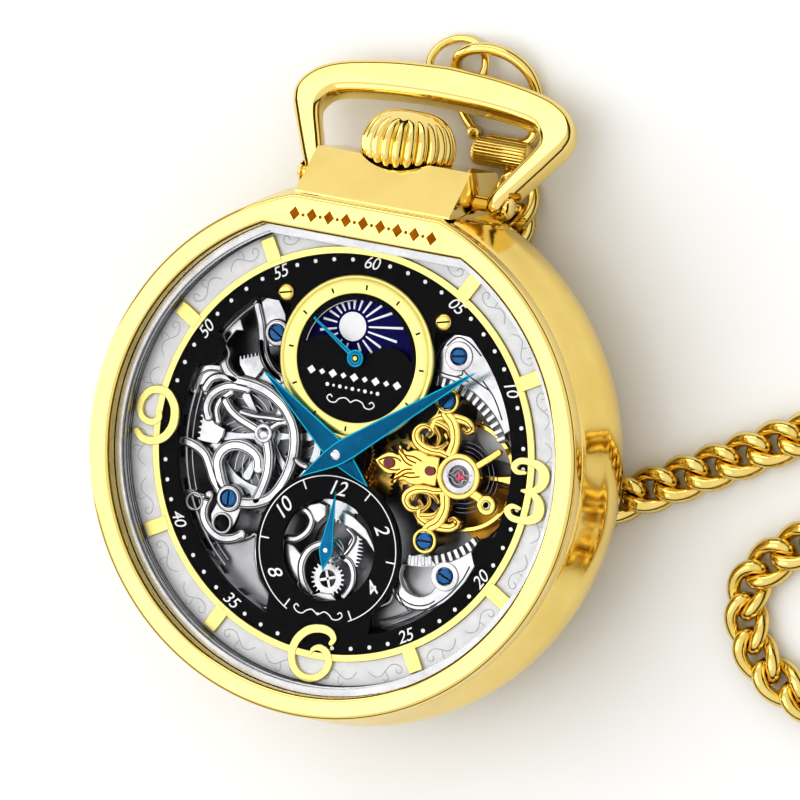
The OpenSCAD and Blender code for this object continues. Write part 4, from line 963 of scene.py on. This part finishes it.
BARREL_C = (-8.1, 0.0)
wheel = [plate([teeth(BARREL_C, 56, 5.36, 5.76), circle(BARREL_C, 4.5, 120)], 11.6, 11.85, 0.03, 1),
    washer(BARREL_C, 5.05, 4.85, (120, 120), 11.84, 11.88, 0.01, 1),
    washer(BARREL_C, 1.25, 0.6, (64, 48), 11.6, 11.9, 0.04, 1), lathe([(0, 12.8), (0.45, 12.8), (0.6, 12.66),
    (0.6, 9.0), (0, 9.0)], 40, (*BARREL_C, 0), closed=False)]
for i in range(6):
    a = radians(60 * i + 10)
    c, s = cos(a), sin(a)
    w = ribbon([(BARREL_C[0] + r * c, BARREL_C[1] + r * s, q) for r, q in ((0.9, 0.75), (2.3, 0.5),
        (4.0, 0.8))])
    wheel.append(plate([w], 11.6, 11.83, 0.04, 1))
add("ratchet", join(wheel), "steel", "ratchet", ("ratchet_wheel",), smooth=30)
ribs = []
for i in range(28):
    pts = []
    for k in range(9):
        r = 2.3 + k * 0.45
        a = radians(i * 360 / 28 + k * 5.5)
        pts.append((BARREL_C[0] + r * cos(a), BARREL_C[1] + r * sin(a), 11.49))
    ribs.append(wire(pts, 0.055, sides=6, per=2, flat=0.5))
add("barrel_ribs", join(ribs), "steel", "barrel")

block_edge = shifted([(-10.8, -10.0), (-9.3, -9.5), (-7.8, -8.9), (-6.9, -8.5), (-6.6, -10.4), (-5.9, -12.2),
    (-4.8, -13.4), (-4.45, -14.1), (-4.9, -14.65), (-6.6, -14.3), (-8.6, -13.1), (-10.2, -11.6)], *DEEP)
add("left_block", plate([block_edge], 10.25, 11.9, 0.3, 3), "grey_plate", "watch",
    smooth=30)
lobe = shifted([(6.9, -9.0), (6.7, -10.9), (6.4, -11.9), (5.4, -12.6), (4.95, -13.5), (5.1, -14.4),
    (6.4, -14.4), (8.4, -13.5), (10.3, -12.2), (11.8, -10.9), (10.0, -10.6), (8.4, -10.9)], *DEEP)
add("right_lobe", plate([lobe], 10.25, 11.9, 0.3, 3), "grey_plate", "watch", smooth=30)
edge_lines = [wire([(x, y, 11.9) for x, y in edge], 0.12, closed=True, sides=8, per=4)
    for edge in (block_edge, lobe)]
for r, z, a0, a1 in ((15.35, 12.7, 164, 232), (15.0, 12.3, 166, 230), (15.3, 12.6, -70, -42),
    (14.8, 12.5, -69, -50), (15.3, 12.7, 30, 48)):
    edge_lines.append(wire([(r * cos(radians(t)), r * sin(radians(t)), z) for t in range(a0, a1, 3)], 0.13,
        sides=8, per=2))
add("edge_lines", join(edge_lines), "bridge_silver", "watch")

# Right-hand bridge plates with the notched rim round the balance.


def right(points):
    return shifted(points, *NEAR)


upper_plate = right([(7.35, 8.05), (7.3, 9.0), (7.5, 10.2), (8.0, 11.4), (8.6, 12.1), (9.6, 12.35),
    (10.7, 11.95), (12.1, 10.7), (13.3, 9.1), (14.4, 7.0), (15.2, 4.9)]) + [polar(RIM_C, 8.25, a)
    for a in range(32, 92, 3)]
lower_plate = right([(7.0, -8.3), (6.6, -9.4), (6.7, -10.9), (7.4, -11.9), (8.8, -12.2), (10.2, -11.9),
    (11.8, -10.8), (13.1, -8.9), (13.8, -7.3), (13.3, -6.2)]) + [polar(RIM_C, 8.25, a)
    for a in range(-44, -92, -3)]
window = circle((8.4, -9.25), 1.75, 60)
right_parts = [plate([upper_plate, circle(RIGHT_SCREWS[0], 0.78, 48)], 12.1, 12.84, 0.1, 2),
    plate([lower_plate, circle(RIGHT_SCREWS[1], 0.78, 48), window], 12.1, 12.84, 0.1, 2)]
for c in RIGHT_SCREWS:
    right_parts.append(washer(c, 1.28, 0.78, (64, 48), 12.8, 12.96, 0.06, 2))
    right_parts.append(lathe([(0, 12.5), (0.8, 12.5), (0.8, 12.1), (0, 12.1)], 40, (*c, 0), closed=False))
bands = []
for a0, a1 in ((28, 92), (-92, -40)):
    band = [polar(RIM_C, 8.3, a) for a in range(a0, a1 + 1, 2)]
    band += [polar(RIM_C, 7.45, a) for a in range(a1, a0 - 1, -2)]
    bands.append(plate([band], 12.1, 12.5, 0.06, 1))
    n = int((a1 - a0) / 4.6)
    for i in range(n):
        a = radians(a0 + (i + 0.5) * (a1 - a0) / n)
        c, s = cos(a), sin(a)
        quad = [(RIM_C[0] + r * c - w * s, RIM_C[1] + r * s + w * c)
            for r, w in ((7.42, -0.19), (8.28, -0.19), (8.28, 0.19), (7.42, 0.19))]
        right_parts.append(plate([quad], 12.45, 12.9, 0.07, 2))
for r in (2.55, 2.9):
    groove_shade_lines.append(wire([(*polar((8.4, -9.25), r, a), 12.85) for a in range(195, 325, 10)], 0.06, sides=8,
        per=3, flat=0.6))
for pts in (((7.4, 8.75), (8.6, 8.55), (9.6, 8.5), (10.6, 8.3)), ((9.8, 9.9), (10.1, 9.1), (11.2, 8.5),
    (12.6, 7.9)), ((7.25, 9.6), (7.6, 10.9), (8.3, 11.7)), ((11.9, 8.6), (13.2, 7.3), (14.2, 5.6))):
    groove_shade_lines.append(wire([(x - 0.38, y - 0.11, 12.85) for x, y in pts], 0.06, sides=8, per=5, flat=0.6))
for pts in (((6.9, -9.9), (7.3, -11.3), (8.4, -12.3)), ((10.2, -11.6), (11.6, -10.4), (12.8, -8.7),
    (13.3, -7.4)), ((8.1, 11.0), (9.0, 11.9), (10.2, 11.6), (11.4, 10.7)),
    ((9.9, 9.3), (9.9, 8.8), (9.5, 8.6))):
    groove_shade_lines.append(wire([(x - 0.38, y - 0.11, 12.85) for x, y in pts], 0.06, sides=8, per=5, flat=0.6))
# Dark rings round the screw heads: painted shade in the gaps.
for c in RIGHT_SCREWS + LEFT_SCREWS:
    groove_shade_lines.append(wire([(c[0] + 1.14 * cos(t), c[1] + 1.14 * sin(t),
        12.93) for t in [2 * pi * i / 24 for i in range(24)]], 0.05, closed=True, sides=6, per=2, flat=0.6))
# Dark band under the rim's notches: painted shade between the notches.
add("rim_band", join(bands), "dark_steel", "watch")
add("right_bridge", join(right_parts), "bridge_silver", "watch", ("skeleton_bridge",),
    smooth=35)
add("window_plate", plate([circle((8.3, -9.3), 1.95, 60)], 11.2, 11.5, 0.05, 1), "grey_plate", "watch")
grey = plate([[(10.6, 6.6), (11.8, 6.5), (13.2, 5.6), (14.3, 4.2), (15.0, 2.4), (15.1, 1.6), (12.4, 1.8),
    (11.0, 3.0), (10.5, 4.4)]], 10.22, 10.6, 0.05, 1)
add("grey_cover", grey, "grey_plate", "watch")
brass = [plate([[(10.9, -1.8), (11.6, -0.9), (13.0, -0.6), (14.9, -0.5), (15.0, -1.8), (14.4, -3.7),
    (13.2, -5.2), (11.9, -5.5), (11.0, -4.6)]], 10.22, 10.52, 0.08, 2)]
for i in range(16):
    a = radians(-75 + i * 5)
    brass.append(wire([(10.8 + r * cos(a + r * 0.02), r * sin(a + r * 0.02), 10.52)
        for r in (2.4, 3.2, 4.0, 4.7)], 0.05, sides=6, per=3, flat=0.6))
add("brass_block", join(brass), "brown_brass", "watch", smooth=30)

# Pieces in the lower opening, above the second time-zone gears.
low = []


def lower(points):
    return shifted(points, *LOW_NEAR)


for outline in ([(-4.3, -8.5), (-3.3, -8.75), (-2.2, -9.6), (-1.95, -10.8), (-2.35, -12.0), (-1.6, -12.8),
    (-2.4, -12.95), (-3.5, -11.8), (-4.3, -10.2)], [(-2.5, -4.9), (-1.5, -4.5), (-0.85, -4.7), (-0.75, -5.6),
    (-1.4, -6.4), (-2.3, -5.9), (-2.9, -5.5)], [(0.75, -4.85), (1.9, -5.2), (3.2, -6.0), (4.15, -7.3),
    (4.35, -8.0), (3.3, -7.0), (2.0, -6.35), (0.9, -6.1), (0.3, -5.6)],
    [(-1.4, -12.9), (-0.3, -12.3), (0.9, -12.2), (1.7, -12.9), (0.4, -13.3)]):
    low.append(plate([lower(outline)], 12.64, 13.05, 0.12, 2))
for pts in (wide(0.62, (-4.1, -8.2), (-3.2, -8.1), (-2.3, -7.3), (-2.0, -6.3), (-2.5, -5.6), (-3.2, -5.4)),
    wide(0.66, (1.5, -8.9), (0.5, -8.0), (-0.8, -8.1), (-1.9, -8.9), (-2.35, -10.2), (-2.0, -11.6),
    (-1.2, -12.6)), wide(0.6, (1.3, -8.9), (2.1, -9.2), (2.6, -10.1), (2.6, -11.2), (2.1, -12.2)),
    wide(0.42, (1.3, -8.9), (1.9, -8.0), (2.2, -7.0), (1.5, -6.4))):
    low += strap(pts, 12.64, 13.12, 0.4, *LOW_NEAR, 0.18)
hub = (0.05, -8.5)
low.append(washer(hub, 1.15, 0.62, (60, 48), 12.66, 13.0, 0.1, 2))
pinion = (0.0, -11.05)
low.append(plate([teeth(pinion, 22, 1.32, 1.6, 0.1), circle(pinion, 0.75, 48)], 12.66, 12.9, 0.04, 1))
for i in range(4):
    a = radians(90 * i + 20)
    spoke = wide(0.3, pinion, (pinion[0] + 1.1 * cos(a), pinion[1] + 1.1 * sin(a)))
    low.append(plate([ribbon(spoke)], 12.66, 12.88, 0.05, 1))
rack = [(1.75, -6.75), (2.3, -6.85)]
for i in range(8):
    y = -7.0 - i * 0.33
    rack += [(2.45, y), (2.95 - 0.02 * (i - 3.5) ** 2, y - 0.07), (2.95 - 0.02 * (i - 3.5) ** 2, y - 0.17),
        (2.45, y - 0.24)]
rack += [(2.1, -9.7), (1.5, -9.0), (1.45, -7.6)]
low.append(plate([rack], 12.66, 12.95, 0.06, 1))
add("lower_works", join(low), "bridge_silver", "watch", smooth=40)
dual_floor = plate([circle((0, -SUB), 4.9, 96), circle((0, -SUB), 2.75, 64)], 10.24, 10.5, 0.04, 1)
add("lower_floor", dual_floor, "dark_steel", "watch")

# Balance, its jewelled bridge and scrolls.
BALANCE_C = (10.8, 0.0)
rim = [lathe([(4.42, 11.34), (4.47, 11.3), (4.78, 11.3), (4.85, 11.38), (4.85, 11.92), (4.78, 12.0),
    (4.47, 12.0), (4.42, 11.92)], 240, (*BALANCE_C, 0)), lathe([(0, 12.0), (0.45, 12.0), (0.6, 11.9),
    (0.6, 11.4), (0, 11.4)], 40, (*BALANCE_C, 0), closed=False)]
for i in range(3):
    a = radians(120 * i + 5)
    c, s = cos(a), sin(a)
    rim.append(plate([ribbon([(BALANCE_C[0] + r * c, BALANCE_C[1] + r * s, w)
        for r, w in ((0.4, 0.8), (1.6, 0.5), (3.0, 0.45), (4.55, 0.85))])], 11.5, 11.8, 0.08, 2))
for i in range(12):
    a = radians(30 * i + 20)
    rim.append(moved(lathe([(0, 4.95), (0.14, 4.95), (0.17, 4.9), (0.17, 4.8), (0, 4.8)], 12, (0, 0, 0), "X",
        closed=False), matrix=Matrix.Translation((BALANCE_C[0], BALANCE_C[1], 11.65)) @ Matrix.Rotation(a, 4,
        "Z")))
add("balance_rim", join(rim), "bridge_gold", "balance", ("balance_wheel",), smooth=35)
staff = join([lathe([(0, 12.9), (0.12, 12.9), (0.2, 12.8), (0.2, 10.3), (0, 10.3)], 24, (*BALANCE_C, 0),
    closed=False), plate([circle(BALANCE_C, 0.85, 60), circle((9.7, 0), 0.35, 32)], 10.62, 10.82, 0.03, 1)])
add("balance_staff", staff, "steel", "balance")
# Dark amber lines on the cock's leaf and scrolls, partly engraving and partly painted shade.
cock_lines = []
cock = [washer(BALANCE_C, 2.02, 1.5, (96, 80), 12.6, 13.38, 0.16, 3),
    washer(BALANCE_C, 1.56, 1.08, (80, 64), 12.6, 13.2, 0.05, 2)]
leaf = [(2.9, 0.05), (3.55, 0.62), (4.15, 1.0), (4.6, 1.05), (5.1, 0.85), (4.95, 1.35), (5.05, 1.95),
    (5.45, 1.5), (5.95, 1.35), (6.6, 1.62), (7.3, 1.55), (7.9, 1.3), (8.4, 1.35), (9.0, 1.3)]
low_leaf = [(x, -0.92 * y) for x, y in leaf[:0:-1]]
cock.append(plate([shifted(leaf + low_leaf, -0.17, -0.02)], 12.62, 13.3, 0.14, 2))
for pts in (((3.4, 0.05), (4.2, 0.5), (5.0, 0.55), (5.5, 0.35)), ((4.9, 1.6), (5.7, 1.0), (6.6, 0.95),
    (7.4, 0.7)), ((5.3, 1.5), (6.0, 0.7), (6.9, 0.45)), ((5.2, 1.0), (5.9, 0.35), (6.6, 0.15))):
    for s in (1, -1):
        cock_lines.append(wire([(x - 0.17, s * y * (1 if s > 0 else 0.92) - 0.02, 13.3) for x, y in pts],
            0.07, sides=8, per=5, flat=0.6))
for s, k in ((1, 1.0), (-1, 0.93)):
    def mirrored(points):
        return [(x, s * k * y, w * 1.3) for x, y, w in points]
    for pts, z1 in ((((8.7, 6.1, 0.8), (8.9, 5.2, 0.8), (9.6, 4.6, 0.85), (10.0, 3.8, 0.8),
        (10.15, 2.9, 0.75), (9.95, 1.9, 0.8)), 13.34), (((9.9, 1.5, 0.5), (9.0, 1.75, 0.55),
        (8.0, 1.75, 0.6), (7.1, 2.0, 0.7), (6.5, 2.5, 0.7), (6.4, 3.2, 0.62), (6.9, 3.75, 0.55),
        (7.6, 3.75, 0.4), (7.95, 3.35, 0.34), (7.7, 2.95, 0.3)), 13.3),
        (((7.0, 2.9, 0.3), (7.2, 2.2, 0.42), (8.0, 1.95, 0.45), (8.9, 2.2, 0.4), (9.4, 2.7, 0.3)), 13.26),
        (((7.3, 3.9, 0.3), (7.9, 4.25, 0.5), (8.6, 4.2, 0.5), (9.3, 3.9, 0.45), (9.6, 3.3, 0.3)), 13.26),
        (((7.4, 4.1, 0.3), (8.2, 4.75, 0.6), (9.2, 4.95, 0.6), (10.2, 4.95, 0.65), (11.0, 4.8, 0.6),
        (11.5, 4.3, 0.45), (11.1, 3.9, 0.35), (10.7, 4.15, 0.28)), 13.28),
        (((8.3, 2.1, 0.26), (8.6, 2.9, 0.34), (8.2, 3.6, 0.36), (7.6, 4.0, 0.3)), 13.22)):
        cock += strap(mirrored(pts), 12.62, z1, 0, -0.17, -0.04, 0.2)
        line = shifted(mirrored(pts), -0.17, -0.04)
        cock_lines.append(wire([(x, y, z1 + 0.01) for x, y, w in line], 0.045, sides=6, per=5, flat=0.6))
for c in COCK_SCREWS:
    cock.append(washer(c, 1.14, 0.78, (60, 48), 12.6, 13.4, 0.14, 3))
    cock.append(lathe([(0, 12.95), (0.8, 12.95), (0.8, 12.6), (0.72, 12.6), (0.72, 10.22), (0, 10.22)], 40,
        (*c, 0), closed=False))
cock.append(plate([ribbon(wide(0.62, (12.4, 1.25), (13.3, 2.0), (14.1, 2.7)))], 12.7, 13.3, 0.12, 2))
for t in (0.25, 0.55, 0.85):
    cock.append(plate([circle((12.9 + 1.25 * t, 1.65 + 1.05 * t), 0.17, 24),
        circle((12.9 + 1.25 * t, 1.65 + 1.05 * t), 0.1, 20)], 13.28, 13.34, 0.02, 1))
cock.append(plate([ribbon(wide(0.85, (12.2, -1.2), (13.0, -1.5), (13.7, -1.95)))], 12.62, 13.3, 0.16, 2))
cock.append(washer(STUD, 0.88, 0.36, (48, 32), 12.62, 13.36, 0.14, 2))
# The cock's dark amber lines, partly painted shade.
add("cock_engraving_and_shade", join(cock_lines), "amber", "watch")
add("balance_cock", join(cock), "bridge_gold", "watch", ("balance_bridge",), smooth=40)
hub_disc = [washer(BALANCE_C, 1.5, 0.95, (80, 64), 12.95, 13.24, 0.05, 2),
    plate([circle(STUD, 0.36, 32)], 12.9, 13.3, 0.06, 2)]
for s in (1, -1):
    hub_disc.append(wire([(BALANCE_C[0] - 1.05, s * 0.12, 13.26), (BALANCE_C[0] - 0.6, s * 0.22, 13.26),
        (BALANCE_C[0] - 0.35, s * 0.5, 13.26), (BALANCE_C[0], s * 0.66, 13.26),
        (BALANCE_C[0] + 0.4, s * 0.5, 13.26), (BALANCE_C[0] + 0.55, s * 0.2, 13.26),
        (BALANCE_C[0] + 1.15, s * 0.3, 13.26)], 0.06, sides=8, per=5))
add("shock_spring", join(hub_disc), "bridge_silver", "watch", smooth=40)
# Dark setting round the shock jewel: painted shade in the gap round it.
setting = lathe([(0.26, 13.1), (0.6, 13.08), (1.04, 13.0), (1.04, 12.72), (0.26, 12.72)], 48, (*BALANCE_C, 0))
add("jewel_setting", setting, "dark_steel", "watch")
petals = [(0.36 + 0.13 * cos(3 * t)) for t in [2 * pi * i / 60 for i in range(60)]]
gem = plate([[(BALANCE_C[0] + 0.12 + r * cos(2 * pi * i / 60), r * sin(2 * pi * i / 60))
    for i, r in enumerate(petals)]], 13.02, 13.26, 0.08, 3)
add("shock_jewel", gem, "pink_ruby", "watch", ("balance_jewel",), smooth=40)
gems = []
for x, r in ((4.15, 0.46), (8.03, 0.42)):
    gems.append(lathe([(0, 13.38), (r * 0.5, 13.4), (r, 13.34), (r, 13.2), (0, 13.2)], 40, (x, 0, 0),
        closed=False))
add("cock_jewels", join(gems), "ruby", "watch")

# Black strips in the bottom of each screw slot: painted shade in the slots.
heads, slot_shades = [], []
for (x, y), top, turn, r in (((-8.2, 9.2), 12.9, -30, 0.74), ((-10.4, -5.9), 12.9, 92, 0.74),
    ((9.0, 10.2), 12.9, 10, 0.72), ((10.8, -8.8), 12.9, -22, 0.72), ((8.7, 6.25), 13.4, 62, 0.74),
    ((8.6, -6.05), 13.4, 2, 0.74)):
    head = lathe([(0, top + 0.12), (r * 0.8, top + 0.12), (r, top + 0.02), (r, top - 0.35),
        (0.42, top - 0.35), (0.42, top - 1.2), (0, top - 1.2)], 48, (x, y, 0), closed=False)
    slot = moved(box(-1, -0.09, 0, 1, 0.09, 1), x, y, top - 0.03, radians(turn))
    heads.append(cut(head, [slot]))
    slot_shades.append(moved(box(-r + 0.04, -0.085, 0, r - 0.04, 0.085, 0.03), x, y, top - 0.04, radians(turn)))
add("screw_heads", join(heads), "screw_blue", "watch", ("bridge_screws",), smooth=30)
# The dial screws' slots get the same painted shade.
for sx in (-1, 1):
    slot_shades.append(moved(box(-0.62, -0.075, 0, 0.62, 0.075, 0.03), sx * 7.5, 12.95, 13.975, 0.25))
add("screw_slot_shade", join(slot_shades), "black_print_and_slot_shade", "watch", smooth=0)
# The bridges' dark wires, painted groove shade.
add("bridge_groove_shade", join(groove_shade_lines), "shade_line", "watch")

# ---------------------------------------------------------------- stage and light

WAY = 1.5  # metres from the middle of the floor to its sides
FLOOR_Z = -0.00003  # just below the watch, so that no faces coincide
floor_mat = material("floor", (0.93, 0.93, 0.93), (0.91, 0.91, 0.91), metallic=0.0, rough=0.6, rough2=0.7,
    scale=30, bump=0.02, bump_scale=400)
floor = new_object("floor", from_faces([(-WAY, -WAY, FLOOR_Z), (WAY, -WAY, FLOOR_Z), (WAY, WAY, FLOOR_Z),
    (-WAY, WAY, FLOOR_Z)], [(0, 1, 2, 3)]))
floor.data.materials.append(floor_mat)
world = bpy.data.worlds.new("studio")
scene.world = world
world.use_nodes = True
nt = world.node_tree
bg = nt.nodes["Background"]
coord = nt.nodes.new("ShaderNodeTexCoord")
split = nt.nodes.new("ShaderNodeSeparateXYZ")
ramp = nt.nodes.new("ShaderNodeValToRGB")
nt.links.new(coord.outputs["Generated"], split.inputs["Vector"])
nt.links.new(split.outputs["Z"], ramp.inputs["Fac"])
nt.links.new(ramp.outputs["Color"], bg.inputs["Color"])
e = ramp.color_ramp.elements
e[0].position, e[0].color = 0.0, (0.05, 0.045, 0.035, 1)
e[1].position, e[1].color = 0.75, (1.0, 1.0, 1.0, 1)
mid = ramp.color_ramp.elements.new(0.26)
mid.color = (0.07, 0.06, 0.05, 1)
mid = ramp.color_ramp.elements.new(0.42)
mid.color = (0.85, 0.85, 0.85, 1)
bg.inputs["Strength"].default_value = 0.73


def softbox(name, direction, distance, size, power, size_y=None):
    data = bpy.data.lights.new(name, "AREA")
    data.shape = "RECTANGLE"
    data.size = size
    data.size_y = size_y or size
    data.energy = power
    o = bpy.data.objects.new(name, data)
    scene.collection.objects.link(o)
    d = Vector(direction).normalized()
    o.location = d * distance
    o.rotation_euler = d.to_track_quat("Z", "Y").to_euler()
    return o


softbox("top", (-0.38, -0.10, 0.92), distance=0.8, size=0.7, power=0.98)
softbox("back", (-0.38, 0.80, 0.42), distance=0.8, size=0.8, power=0.84, size_y=0.45)
softbox("left", (-0.95, -0.1, 0.30), distance=0.8, size=0.35, power=0.8, size_y=0.5)
